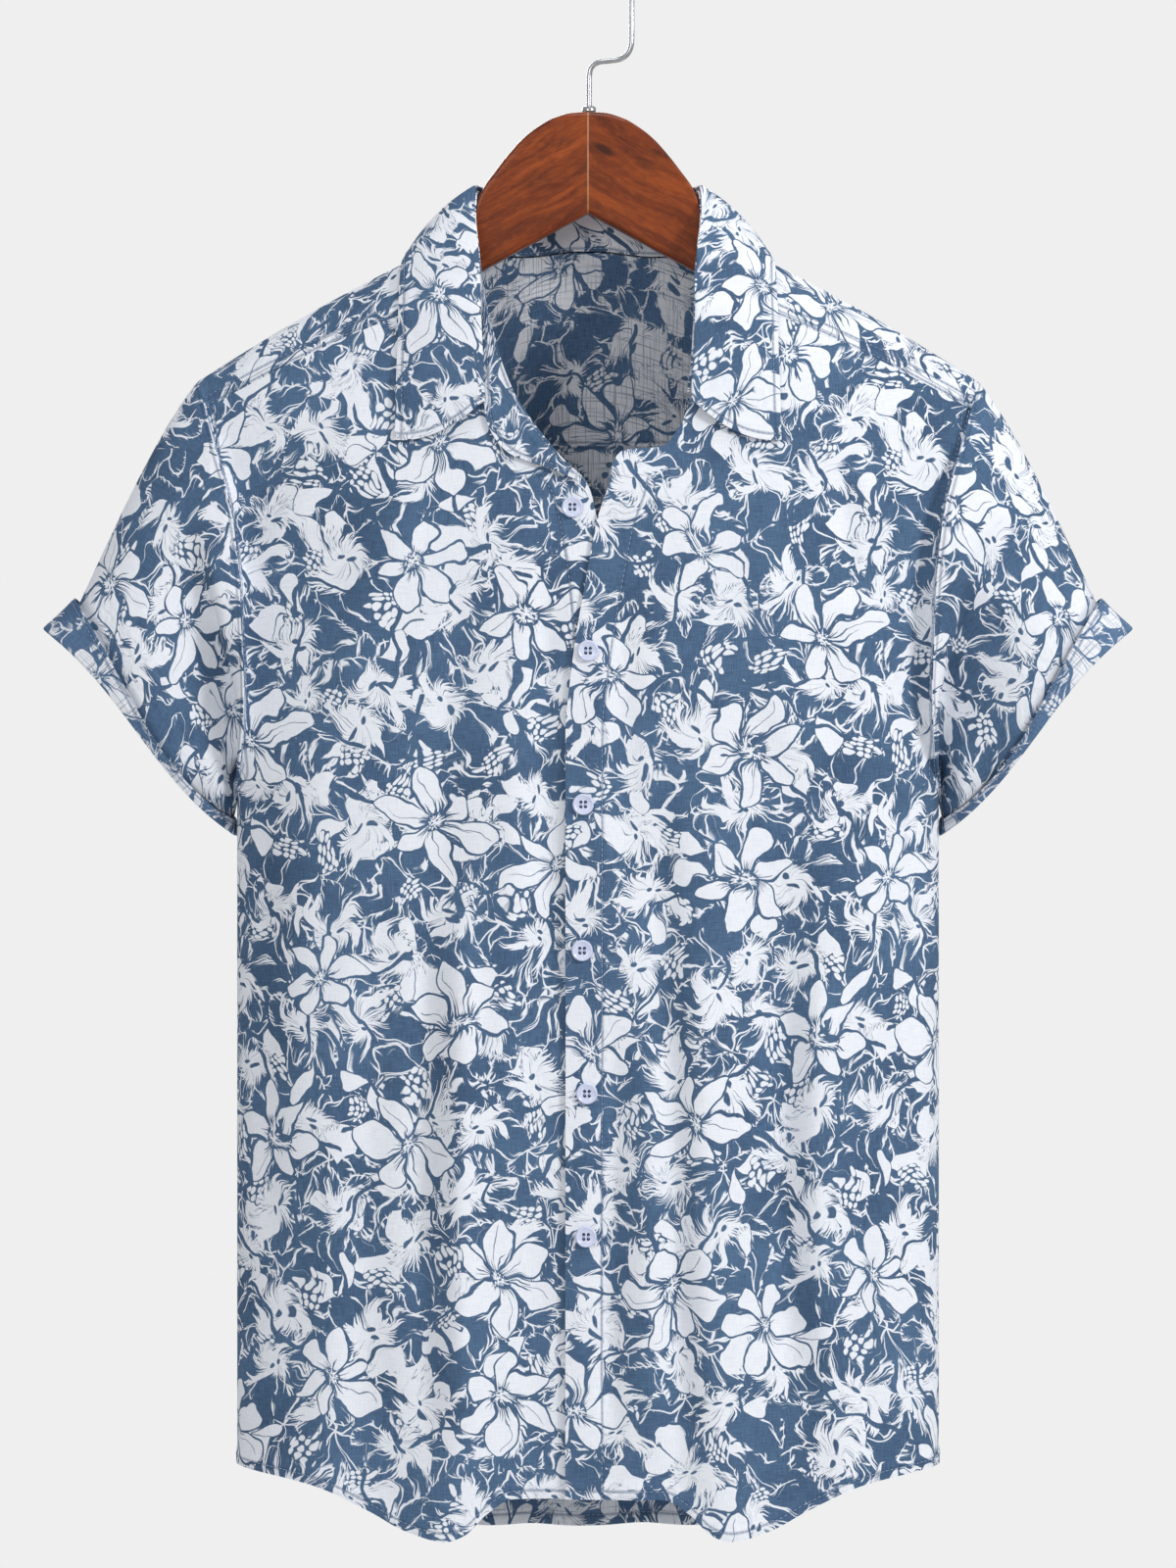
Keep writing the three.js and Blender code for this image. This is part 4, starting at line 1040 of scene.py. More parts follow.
def front(name, side):
    """Front with its placket's extra layer, hem and lines of stitches."""
    grid, upper = front_grid(side)
    out, _ = facing(grid, (0, -1, 0))
    flat = flat_cut(grid, (0, 0, 1))
    width = flat[..., 0].copy()
    flat[..., 0] = side * (width + grid[:, :1, 0] * side)
    flat += CLOTH_AT[name]
    from_hem = grid[..., 2] - grid[-1:, :, 2]
    from_arm = width[:, -1:] - width
    from_arm[upper:] = NO_LINE
    placket = np.where(grid[..., 2] < PLACKET_TOP, width - PLACKET, NO_LINE)
    arm = nearer(from_arm, ARM_STITCHES)
    seams = np.stack([np.where(width < PLACKET_REACH, placket, arm), from_hem - HEM_STITCH], -1)
    band = smooth((PLACKET + 0.4 - width) / 1.2) * smooth((PLACKET_TOP + 6 - grid[..., 2]) / 6)
    folded = np.maximum(band, hem_band(from_hem))
    grid = grid + out * (FOLDED / 2 * folded)[..., None]
    thick = CLOTH + FOLDED * folded
    made = shell(f"{name}_cloth", grid, flat, (0, -1, 0), CLOTHS, seams=seams, thick=thick)
    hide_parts(name)
    lift = CLOTH / 2 + STITCH_LIFT + 0.15
    place, normal = trace(grid, out, width, PLACKET, lift)
    below = place[:, 2] < PLACKET_TOP
    SEWN_LINES.append((place[below], normal[below]))
    SEWN_LINES.append(trace(grid[::-1], out[::-1], from_hem[::-1], HEM_STITCH, lift, by_row=False))
    for distance in ARM_STITCHES:
        ends = width[:upper] - width[:upper, -1:]
        SEWN_LINES.append(trace(grid[:upper], out[:upper], ends, -distance, lift))
    return made


def back_grid():
    """The back's surface: rows v level down to the armpit, then bending into the hem's curve.

    Columns s run from side to side, closer together at both ends.
    """
    t = np.linspace(-1, 1, 190)
    s = 0.5 * t + 0.5 * np.sin(t * np.pi / 2)
    armpit = 0.325  # share of the way down
    v = np.concatenate([np.linspace(0, armpit, 60), np.linspace(armpit, 1, 120)[1:]])[:, None]
    level = lerp(BACK_SEAM_Z - SEAM / 2, ARMPIT_Z, np.minimum(1, v / armpit))
    lower = np.clip((v - armpit) / (1 - armpit), 0, 1)
    x = s * outer_edge(1, level)[0]
    return body(1, x, lerp(level, along(HEM["x"], HEM["back"], np.abs(x)), lower))


def back():
    """Back below the yoke, its hem turned up inwards so that the band shows the printed side."""
    grid = back_grid()
    out, _ = facing(grid, (0, 1, 0))
    flat = flat_cut(grid, (0, 0, 1), middle=95) * (-1, 1) + CLOTH_AT["back"]
    from_hem = grid[..., 2] - grid[-1:, :, 2]
    from_top = grid[:1, :, 2] - grid[..., 2]
    hem_line = HEM_STITCH + 1.5
    rows = np.where(from_hem < 60, from_hem - hem_line, from_top - BACK_SEAM_STITCH)
    seams = np.stack([np.full(rows.shape, NO_LINE), rows], -1)
    hem = hem_band(from_hem)
    on_hem = 0.5 * (from_hem[1:, 1:] + from_hem[:-1, :-1]) < HEM_BAND - 0.3
    wall = grid - out * (FOLDED / 2 * hem)[..., None]
    thick = CLOTH + FOLDED * hem
    inner = np.where(on_hem, 0, 1)
    made = shell("back_panel", wall, flat, (0, 1, 0), CLOTHS, seams=seams, thick=thick, inner=inner)
    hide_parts("back")
    lift = CLOTH / 2 + STITCH_LIFT
    for face in (1, -1):
        line = trace(grid[::-1], face * out[::-1], from_hem[::-1], hem_line, lift + 0.2, by_row=False)
        SEWN_LINES.append(line)
    SEWN_LINES.append(trace(grid, out, from_top, BACK_SEAM_STITCH, lift, by_row=False))
    return made


def yoke_grid():
    """Yoke: half turns round the neck against the share of the way out to the armholes and seams."""
    half = np.concatenate([np.linspace(0, YOKE_CORNER, 60), np.linspace(YOKE_CORNER, 1, 70)])
    half = np.unique(half)
    signed = np.concatenate([-half[::-1], half[1:]])
    turn, side = np.abs(signed), np.where(signed < 0, -1, 1)
    level = BACK_SEAM_Z + SEAM / 2
    corner_x = outer_edge(1, level)[0]
    back_x = corner_x * np.minimum(turn / YOKE_CORNER, 1)
    share = np.clip((turn - YOKE_CORNER) / (1 - YOKE_CORNER), 0, 1)
    arm_p = lerp(ridge_distance(corner_x, level, 1), front_seam(1)[1] + YOKE_CLEAR, share)
    arm_x = np.full(turn.shape, ARMHOLE[0, 0])
    for _ in range(30):
        z = shoulder_z(arm_x) - arm_p**2 / RIDGE_ROUND
        arm_x = 0.5 * (arm_x + np.where(arm_p < 0, outer_edge(-1, z)[0], outer_edge(1, z)[0]))
    on_back = turn <= YOKE_CORNER
    outer_x = np.where(on_back, back_x, arm_x)
    outer_p = np.where(on_back, ridge_distance(back_x, level, 1), arm_p)
    neck_x = along(NECK_TURN, NECK_X, turn)
    neck_p = along(NECK_TURN, NECK_P, turn) + np.where(turn >= 1, YOKE_CLEAR, 0)
    t = np.linspace(0, 1, 64)[None, :]
    x = side[:, None] * lerp(neck_x[:, None], outer_x[:, None], t)
    p = lerp(neck_p[:, None], outer_p[:, None], t)
    return shoulder(x, p), x, p


def yoke():
    """Yoke with two lines of stitches along each front seam, and a sunken line with painted shade along
    the back seam.
    """
    grid, x, p = yoke_grid()
    out, _ = facing(grid, (0, 0, 1))
    lengths = np.linspace(0, 90, 400)
    ridge = body(-1, np.full(400, 110.0), shoulder_z(110) - lengths**2 / RIDGE_ROUND)
    down = np.sign(p) * np.interp(np.abs(p), lengths, arc(ridge))
    flat = np.stack([x * YOKE_SLOPE, down], -1) + CLOTH_AT["yoke"]
    front_run = arc(grid.swapaxes(0, 1)).T
    ends = np.minimum(front_run, front_run[-1:] - front_run)
    across = arc(grid)
    from_back = across[:, -1:] - across
    middle = (np.abs(np.linspace(-1, 1, len(grid))) < 0.44)[:, None]
    rows = np.where(middle, from_back - YOKE_BACK_STITCH, NO_LINE)
    seams = np.stack([nearer(ends, YOKE_STITCHES), rows], -1)
    made = shell("yoke_panel", grid, flat, (0, 0, 1), CLOTHS, seams=seams)
    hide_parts("yoke")
    lift = CLOTH / 2 + STITCH_LIFT
    other_run = (front_run[-1:] - front_run)[::-1]
    for distance in YOKE_STITCHES:
        SEWN_LINES.append(trace(grid, out, front_run, distance, lift, by_row=False))
        SEWN_LINES.append(trace(grid[::-1], out[::-1], other_run, distance, lift, by_row=False))
    return made


# Sleeves
def end_loop(line, turn):
    """Loop round a sleeve end: from the top point forwards and under to the armpit and back."""
    (tx, ty, tz), (ux, uy, uz), depth, bow = line
    angle = np.radians(turn)
    share, spread = (1 - np.cos(angle)) / 2, np.sin(angle)
    fat = np.sign(spread) * np.abs(spread) ** END_FATNESS
    run = np.array([ux - tx, 0, uz - tz]) / np.hypot(ux - tx, uz - tz)
    out = lerp(*bow, share) * spread**2
    x, z = lerp(tx, ux, share) - run[2] * out, lerp(tz, uz, share) + run[0] * out
    return np.stack([x, lerp(ty, uy, share) - depth * fat, z], -1)


def sleeve_at(turn, s):
    """Sleeve at +X: straight from the armhole to the fold line, swollen on top and creased.

    The rise off that line is a half wave of swell and folds, less the valley: a bell across the way
    out, narrower on its near side. From s 1 to 2 the end runs straight from fold line to opening.
    """
    turn, s = np.broadcast_arrays(np.mod(turn, 360.0), np.asarray(s, float))
    start = ring_at(turn)
    fold, end = end_loop(CUFF_LINE, turn), end_loop(SLEEVE_END, turn)
    angle = np.radians(turn)
    inner = np.clip(s, 0, 1)
    swell = SLEEVE_BULGE * np.sin(np.pi * inner**0.7) * np.maximum(0, np.cos(angle))
    hills = sum(out * np.exp(-(((turn - at) / width) ** 2)) for at, width, out in SLEEVE_FOLDS)
    slant = turn + 16 * (inner - 0.5)
    small = sum(out * np.exp(-(((slant - at) / width) ** 2)) for at, width, out in SLEEVE_CREASES)
    rise = swell + (hills + small) * np.sin(np.pi * inner**0.8)
    valley_at = VALLEY_AT - VALLEY_MOVE * smooth((turn - VALLEY_MOVE_FROM) / VALLEY_MOVE_OVER)
    valley = smooth((turn - VALLEY_START) / VALLEY_START_OVER)
    valley = valley * smooth((VALLEY_END - turn) / VALLEY_END_OVER) * smooth(inner / 0.12)
    across = (inner - valley_at) / np.where(inner < valley_at, VALLEY_NEAR, VALLEY_FAR)
    rise = rise - VALLEY_DEEP * valley * np.exp(-(across**2)) * smooth((1 - inner) / 0.3)
    way = np.stack([0.88 * np.cos(angle / 2) ** 2, -np.sin(angle), 0.47 * np.cos(angle)], -1)
    way /= np.linalg.norm(way, axis=-1, keepdims=True)
    on = lerp(start, fold, inner[..., None]) + way * rise[..., None]
    return np.where((s > 1)[..., None], lerp(fold, end, (s - 1)[..., None]), on)


SLEEVE_AXIS = (0.64, 0.0, -0.77)
SLEEVE_TO = 1.94  # where the sleeve's own layer ends, inside the cuff
CUFF_EDGE_AT, CUFF_DEPTH = 1.02, 16.0  # where the painted shadow line under the cuff's edge lies
# The cuff's path: places along the sleeve from inside its end, round the roll and up to the
# stitched edge, and how far each lies off the sleeve.
CUFF_PATH = np.array(
    [
        [1.9, 0.75],
        [1.955, 0.85],
        [1.99, 1.2],
        [2.0, 1.75],
        [1.985, 2.25],
        [1.93, 2.5],
        [1.7, 2.6],
        [1.45, 2.65],
        [1.2, 2.75],
        [1.08, 2.9],
        [1.05, 2.9],
    ]
)
CUFF_ROWS = 60
SLEEVE_TURN = np.linspace(-180, 180, 181)[None, :]
SLEEVE_MIDDLE = 90


def sleeve(side):
    """Sleeve: the surface of sleeve_at from the armhole to inside the cuff, mirrored on the right."""
    name = "sleeve_left" if side > 0 else "sleeve_right"
    flip = np.array([side, 1, 1])
    s = np.linspace(0, SLEEVE_TO, 96)[:, None]
    grid = sleeve_at(SLEEVE_TURN, s) * flip
    flat = flat_cut(grid, np.array(SLEEVE_AXIS) * flip, middle=SLEEVE_MIDDLE) * (side, -1)
    flat += CLOTH_AT[name]
    away = grid - grid.mean(1, keepdims=True)
    length = arc(grid.swapaxes(0, 1)).T
    # painted shadow: a dark line on the sleeve just under the cuff's upper edge, darkened through the
    # seams layer
    cuff_shadow_line = (s - CUFF_EDGE_AT) * CUFF_DEPTH + 0 * SLEEVE_TURN
    seams = np.stack([cuff_shadow_line, length - 2.0], -1)
    made = shell(f"{name}_cloth", grid, flat, away, CLOTHS, closed=True, seams=seams)
    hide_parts(name)
    return made


def cuff(side):
    """Turned-up sleeve end: the path off the sleeve, carried round it, wavy towards its edge."""
    name = "cuff_left" if side > 0 else "cuff_right"
    flip = np.array([side, 1, 1])
    path = through(CUFF_PATH, np.linspace(0, len(CUFF_PATH) - 1, CUFF_ROWS))
    bare = sleeve_at(SLEEVE_TURN, path[:, :1]) * flip
    last = CUFF_ROWS - 1
    levels = np.linspace(CUFF_EDGE_AT, CUFF_EDGE_AT + 1, CUFF_ROWS)[:, None]
    steady = sleeve_at(SLEEVE_TURN, levels) * flip
    steady_out, _ = facing(steady, steady - steady.mean(1, keepdims=True), closed=True)
    out = steady_out[np.clip(((path[:, 0] - CUFF_EDGE_AT) * last).round().astype(int), 0, last)]
    angle = np.radians(SLEEVE_TURN)
    wave = 0.35 * np.sin(angle * 7 + 1) + 0.25 * np.sin(angle * 17)
    rise = path[:, 1:2] + wave * smooth((1.6 - path[:, :1]) / 0.5)
    band = bare + out * rise[..., None]
    run = arc(band.swapaxes(0, 1)).T
    round_it = flat_cut(band, np.array(SLEEVE_AXIS) * flip, middle=SLEEVE_MIDDLE)[..., 0]
    flat = np.stack([round_it * side, -run], -1) + CLOTH_AT[name]
    from_edge = run[-1:] - run
    seams = np.stack([np.full(run.shape, NO_LINE), from_edge - CUFF_STITCH], -1)
    sides = (CLOTH_WRONG, CLOTH_RIGHT)
    made = shell(f"{name}_cloth", band, flat, out, sides, closed=True, seams=seams)
    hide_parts(name)
    lift = CLOTH / 2 + STITCH_LIFT
    line = trace(band[::-1], out[::-1], from_edge[::-1], CUFF_STITCH, lift, by_row=False)
    SEWN_LINES.append(line)
    return made


# Collar
def collar_line(name, turn, side):
    """Roll line or outer edge of the collar: free round the neck, resting on the front past 1."""
    x = side * along(COLLAR["turn"], COLLAR[name + "X"], turn)
    z = along(COLLAR["turn"], COLLAR[name + "Z"], turn)
    free = along(COLLAR["turn"][:8], COLLAR[name + "Y"], turn)
    lift = along(COLLAR["turn"][8:], COLLAR[name + "Lift"], turn)
    resting = body(-1, x, z)[..., 1] - lift
    return np.stack([x, lerp(free, resting, smooth((turn - 1) / COLLAR_LANDING)), z], -1)


def leaf_grid():
    """Leaf: straight from roll line to edge, bulging between, its front ends bowed downwards, and
    its inner edge curled over into the stand. Gives the way out of its face at each turn too."""
    end = COLLAR["turn"][-1]
    signed = np.linspace(-end, end, 300)
    turn, side = np.abs(signed), np.where(signed < 0, -1.0, 1.0)
    roll, edge = collar_line("roll", turn, side), collar_line("edge", turn, side)
    run = edge - roll
    run /= np.linalg.norm(run, axis=-1, keepdims=True)
    front = smooth((turn - LEAF_LANDING) / LEAF_LANDING_OVER)
    away_y = np.where(turn < 0.8, 0.7 * (1 - turn), -0.9 * front)
    outwards = np.stack([side * 0.7 * turn, away_y, np.full(turn.shape, 0.6)], -1)
    outwards -= run * (outwards * run).sum(-1, keepdims=True)
    outwards /= np.linalg.norm(outwards, axis=-1, keepdims=True)
    ending = smooth(1 + (turn - end) / LEAF_ENDING)
    bulge = 4 * LEAF_CROWN * (1 - LEAF_FLATTER * front) * (1 - LEAF_END_FLATTER * ending)
    t = np.linspace(0, 1, 64)[None, :, None]
    arched = outwards[:, None] * bulge[:, None, None] * t * (1 - t)
    grid = lerp(roll[:, None], edge[:, None], t) + arched
    sag, t = 4 * t[..., 0] * (1 - t[..., 0]), t[..., 0]
    grid[..., 2] += ROLL_RISE * (1 - t) * (1 - front[:, None]) - LEAF_END_BOW * ending[:, None] * sag
    grid[..., 1] -= ROLL_AHEAD * (1 - t) * front[:, None]
    away = outwards[:, None] * np.ones((1, 64, 1))
    out, _ = facing(grid, away)
    ripple = 0.35 * np.sin(signed * 23 + 1)[:, None] * t**2 * front[:, None]
    grid = grid + out * ripple[..., None]
    inwards = -grid[:, 0] * (1, 1, 0)
    inwards /= np.linalg.norm(inwards, axis=-1, keepdims=True)
    under = grid[:, 0] + inwards * (STAND_ROLL_IN - 0.3) + run * 3.0
    q = np.linspace(0, 1, 8)[:-1][None, :, None]
    roll_over = 2.6 * np.sin(np.pi * q) * (1 - 0.35 * q)
    curl = lerp(under[:, None], grid[:, :1], q) - run[:, None] * roll_over
    return np.concatenate([curl, grid], 1), outwards


def collar_wall(name, grid, flat, away, seams):
    """Interlined cloth with the printed side on both faces."""
    finishes = (CLOTH_RIGHT,)
    return shell(name, grid, flat, away, finishes, seams=seams, thick=COLLAR_CLOTH, inner=0)


def collar_leaf():
    """Leaf with a line of stitches along its ends and its outer edge."""
    grid, outwards = leaf_grid()
    away = outwards[:, None] * np.ones((1, grid.shape[1], 1))
    out, _ = facing(grid, away)
    length, across = arc(grid.swapaxes(0, 1)).T, arc(grid)
    half_way = len(grid) // 2
    middle = length[half_way : half_way + 1]
    flat = np.stack([length - middle, across], -1) + CLOTH_AT["collar_leaf"]
    from_end = np.minimum(length, length[-1:] - length)
    from_edge = across[:, -1:] - across
    seams = np.stack([from_end - COLLAR_STITCH, from_edge - COLLAR_STITCH], -1)
    made = collar_wall("collar_leaf_cloth", grid, flat, away, seams)
    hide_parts("collar_leaf")
    lift = COLLAR_CLOTH / 2 + 0.15
    SEWN_LINES.append(trace(grid[5:-5], out[5:-5], -from_edge[5:-5], -COLLAR_STITCH, lift))
    for step in (1, -1):
        run_in = (length if step > 0 else length[-1:] - length)[::step, 3:-3]
        wall, normal = grid[::step, 3:-3], out[::step, 3:-3]
        SEWN_LINES.append(trace(wall, normal, run_in, COLLAR_STITCH, lift, by_row=False))
    return made


def collar_stand():
    """Stand: turned out on the under front, round the neck inside, under the leaf on the other.

    Rows lie straight between a low and a high line, each a curve through its points.
    """

    def on_front(x, z, lift):
        """A place on the fronts' surface, a lift in front of it."""
        return body(-1, x, z) - np.stack([0 * x, lift + 0 * x, 0 * x], -1)

    under = STAND_UNDER[::-1]
    fold_edge = on_front(-under[:, 0], under[:, 1], STAND_LIFT)
    free_edge = on_front(-under[:, 2], under[:, 3], STAND_LIFT)
    signed = np.linspace(-1, 1, 27)
    turn, side = np.abs(signed), np.where(signed < 0, -1.0, 1.0)
    seam = shoulder(side * along(NECK_TURN, NECK_X, turn), along(NECK_TURN, NECK_P, turn))
    inwards = -seam * (1, 1, 0)
    inwards /= np.linalg.norm(inwards, axis=-1, keepdims=True)
    ahead = STAND_SEAM_AHEAD * smooth((turn - 0.8) / 0.2)
    seam = seam + inwards * STAND_SEAM_IN + np.stack([0 * ahead, -ahead, STAND_SEAM_UP + 0 * ahead], -1)
    roll = collar_line("roll", turn, side) + inwards * STAND_ROLL_IN - (0, 0, STAND_ROLL_DOWN)
    low = [fold_edge, seam]
    high = [free_edge, roll]
    for z, seam_lift, roll_x, roll_lift in STAND_OVER:
        seam_x = along(FRONT_ROWS["z"], FRONT_ROWS["over"], np.array([z])) - STAND_OVER_IN
        low.append(on_front(seam_x, np.array([float(z)]), seam_lift))
        high.append(on_front(np.array([float(roll_x)]), np.array([float(z)]), roll_lift))
    low, high = np.concatenate(low), np.concatenate(high)
    at = np.linspace(0, len(low) - 1, 320)
    low, high = through(low, at), through(high, at)
    t = np.linspace(0, 1, 22)[None, :, None]
    grid = lerp(low[:, None], high[:, None], t)
    out, _ = facing(grid, grid * (1, 1, 0))
    length, across = arc(grid.swapaxes(0, 1)).T, arc(grid)
    flat = np.stack([length, across], -1) + CLOTH_AT["collar_stand"]
    from_low, from_high = across, across[:, -1:] - across
    low_line, high_line = from_low - STAND_STITCH_LOW, from_high - STAND_STITCH_HIGH
    rows = np.where(from_low < from_high, low_line, high_line)
    seams = np.stack([np.minimum(length, NO_LINE) - 3, rows], -1)
    made = collar_wall("collar_stand_cloth", grid, flat, (0, 0, 1), seams)
    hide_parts("collar_stand")
    lift = COLLAR_CLOTH / 2 + 0.15
    wall = grid[3:-3]
    for face in (1, -1):
        normal = (normals(grid) * face)[3:-3]
        SEWN_LINES.append(trace(wall, normal, -from_high[3:-3], -STAND_STITCH_HIGH, lift))
        SEWN_LINES.append(trace(wall, normal, from_low[3:-3], STAND_STITCH_LOW, lift))
    return made


# Sewing
def stitches(name, lines, pitch=3.1, length=2.3, radius=0.2, first=1.0):
    """Rows of stitches: each a low arch of thread along its line, thin at both ends.

    A stitch is five rings of six points, the arch a half wave of the share along the stitch.
    """
    share = np.linspace(0, 1, 5)
    rings = np.linspace(0, 2 * np.pi, 6, endpoint=False)
    points, count = [], 0

    def pick(values, run, at):
        """A line's points or normals at lengths along it."""
        return np.stack([np.interp(at, run, values[:, k]) for k in range(3)], -1)

    for place, normal in lines:
        if len(place) < 3:
            continue
        run = arc(place)
        starts = np.arange(first, run[-1] - length, pitch)
        at = starts[:, None] + share * length
        middle, up = pick(place, run, at), pick(normal, run, at)
        along_it = np.gradient(middle, axis=1)
        along_it /= np.linalg.norm(along_it, axis=-1, keepdims=True) + 1e-9
        up /= np.linalg.norm(up, axis=-1, keepdims=True) + 1e-9
        side = np.cross(along_it, up)
        arch = 0.16 * np.sin(np.pi * share) - 0.1
        thin = radius * np.array([0.35, 0.9, 1.0, 0.9, 0.35])
        middle = middle + up * arch[:, None]
        ring = np.cos(rings)[:, None] * side[..., None, :] + np.sin(rings)[:, None] * up[..., None, :]
        points.append((middle[..., None, :] + thin[:, None, None] * ring).reshape(-1, 3))
        count += len(starts)
    points = np.concatenate(points)
    m, k = np.meshgrid(np.arange(4), np.arange(6), indexing="ij")
    tube = np.stack([m * 6 + k, m * 6 + (k + 1) % 6, (m + 1) * 6 + (k + 1) % 6, (m + 1) * 6 + k], -1)
    caps = np.array([[3, 2, 1, 0], [5, 4, 3, 0], [24, 25, 26, 27], [24, 27, 28, 29]])
    one = np.concatenate([tube.reshape(-1, 4)[:, ::-1], caps[:, ::-1]])
    quads = (one[None] + 30 * np.arange(count)[:, None, None]).reshape(-1, 4)
    made = make(name, points, quads, (THREAD,), sharp=180)


# Buttons
def button(number, x, z, over):
    """Button: a dished disc with a rounded rim, sunk round each sewing hole. Gives its threads.

    The face's height is a bell at the rim, a dish inside it and a drop at the edge, by the share of
    the radius. The disc lies on the foremost cloth under it.
    """
    r = np.concatenate([np.linspace(0.02, 3.4, 34), np.linspace(3.55, BUTTON_RADIUS, 16)])
    angle = np.linspace(0, 2 * np.pi, 97)[None, :]
    share = r / BUTTON_RADIUS
    rim = np.exp(-(((share - 0.86) / 0.1) ** 2)) * 0.42
    face = -0.25 * (1 - smooth((share - 0.45) / 0.2)) + rim
    face = face - 0.75 * np.clip((share - 0.9) / 0.1, 0, 1) ** 2.4
    px, pz = r[:, None] * np.cos(angle), r[:, None] * np.sin(angle)
    corner = np.pi / 4 + np.arange(4) * np.pi / 2
    hole_x, hole_z = BUTTON_HOLE_OUT * np.cos(corner), BUTTON_HOLE_OUT * np.sin(corner)
    away = np.min([np.hypot(px - x0, pz - z0) for x0, z0 in zip(hole_x, hole_z)], 0)
    hole = smooth((BUTTON_HOLE + 0.12 - away) / 0.24)
    front_y = -(BUTTON_THICK / 2 - 0.35) - face[:, None] + 1.5 * hole
    back_y = np.full(px.shape, BUTTON_THICK / 2) - 0.5 * share[:, None] ** 6
    under = np.linspace(0, 2 * np.pi, 25)
    reach = np.array([[0.0], [0.5], [1.0]]) * BUTTON_RADIUS
    cloth_y = body(-1, x + reach * np.cos(under), z + reach * np.sin(under))[..., 1].min()
    drop = 0 if over else OVERLAP_DROP
    clear = CLOTH / 2 + BUTTON_CLEAR + BUTTON_THICK / 2 + BUTTON_SHANK
    centre = np.array([x, cloth_y + drop - clear, z])
    top = np.stack([px, front_y, pz], -1)[:, :-1] + centre
    low = np.stack([px, back_y, pz], -1)[:, :-1] + centre
    grid = np.concatenate([top, low[::-1]])
    rows, cols = grid.shape[:2]
    fans = []
    for first in (0, (rows - 1) * cols):
        k = np.arange(0, cols - 2, 2)
        fan = [np.full(len(k), first), first + k + 1, first + k + 2, first + (k + 3) % cols]
        fan = np.stack(fan, -1)
        fans.append(fan[:, ::-1] if first == 0 else fan)
    quads = np.concatenate([round_quads(rows, cols), *fans])
    made = make(f"pearl_button_{number}", grid.reshape(-1, 3), quads[:, ::-1], (PEARL,), sharp=60)
    sunk = made.data.attributes.new("hole", "FLOAT", "POINT")
    depth = np.concatenate([hole[:, :-1], np.zeros_like(hole[:, :-1])])
    sunk.data.foreach_set("value", depth.astype(np.float32).ravel())
    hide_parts(f"button_{number}")
    threads = []
    for side in (-1, 1):
        t = np.linspace(-1, 1, 9)
        path = np.stack([side * 1.27 + 0 * t, -1.0 + 0.7 * t**4, 1.4 * t], -1) + centre
        threads.append((path, np.tile([0.0, -1.0, 0.0], (9, 1))))
    return threads


# Hanger
def hanger_arm(side):
    """One wooden half: rounded upright sections from the mitre out to the rounded end.

    Each section is a rectangle with quarter rounds, from the top line to the straight lower edge;
    it closes at the end as a circle does.
    """
    name = "hanger_arm_left" if side > 0 else "hanger_arm_right"
    round_from = HANGER_END_X - HANGER_END_ROUND
    tip = round_from + HANGER_END_ROUND * np.sin(np.radians(np.linspace(0, 90, 14)))
    dome_x, slope_x = np.linspace(2.5, 76, 70), np.linspace(78, round_from - 1, 60)
    x = np.concatenate([[0.04, 0.5, 1.2], dome_x, slope_x, tip])
    closing = np.sqrt(1 - np.clip((x - round_from) / HANGER_END_ROUND, 0, 1) ** 2)
    slim = lerp(1, 0.6, smooth((x - 112) / 60))
    dome = along(HANGER_DOME_X, HANGER_DOME_Z, x)
    top = np.where(x <= HANGER_DOME_X[-1], dome, shoulder_z(x) - HANGER_BELOW - (1 - slim))
    low = HANGER_NOTCH_Z - HANGER_SLOPE * x
    middle = (top + low) / 2
    tall = (top - low) / 2 * lerp(0.35, 1, closing)
    wide = HANGER_THICK / 2 * lerp(0.45, 1, closing) * slim
    round_ = np.minimum(HANGER_EDGE, 0.8 * wide)
    turns = np.radians(np.linspace(0, 90, 8))
    rings = []
    for number in range(4):
        sign_y, sign_z = (1 if number % 3 == 0 else -1), (1 if number < 2 else -1)
        angle = turns + number * np.pi / 2
        y = sign_y * (wide - round_)[:, None] + round_[:, None] * np.cos(angle)
        z = sign_z * (tall - round_)[:, None] + round_[:, None] * np.sin(angle)
        rings.append(np.stack([y, z], -1))
    ring = np.concatenate(rings, 1)
    joined = np.concatenate([ring, ring[:, :1]], 1)
    corners = []
    for k in range(ring.shape[1]):
        corners.append(joined[:, k])
        if (k + 1) % len(turns) == 0:  # a flat side starts here
            corners.extend(lerp(joined[:, k], joined[:, k + 1], t) for t in HANGER_FLAT_STOPS)
    ring = np.stack(corners, 1)
    far = side * np.broadcast_to(x[:, None], ring.shape[:2])
    grid = np.stack([far, ring[..., 0], ring[..., 1] + middle[:, None]], -1)
    tube(name.replace("hanger", "wooden"), grid, side < 0, WOOD, "wood", name)


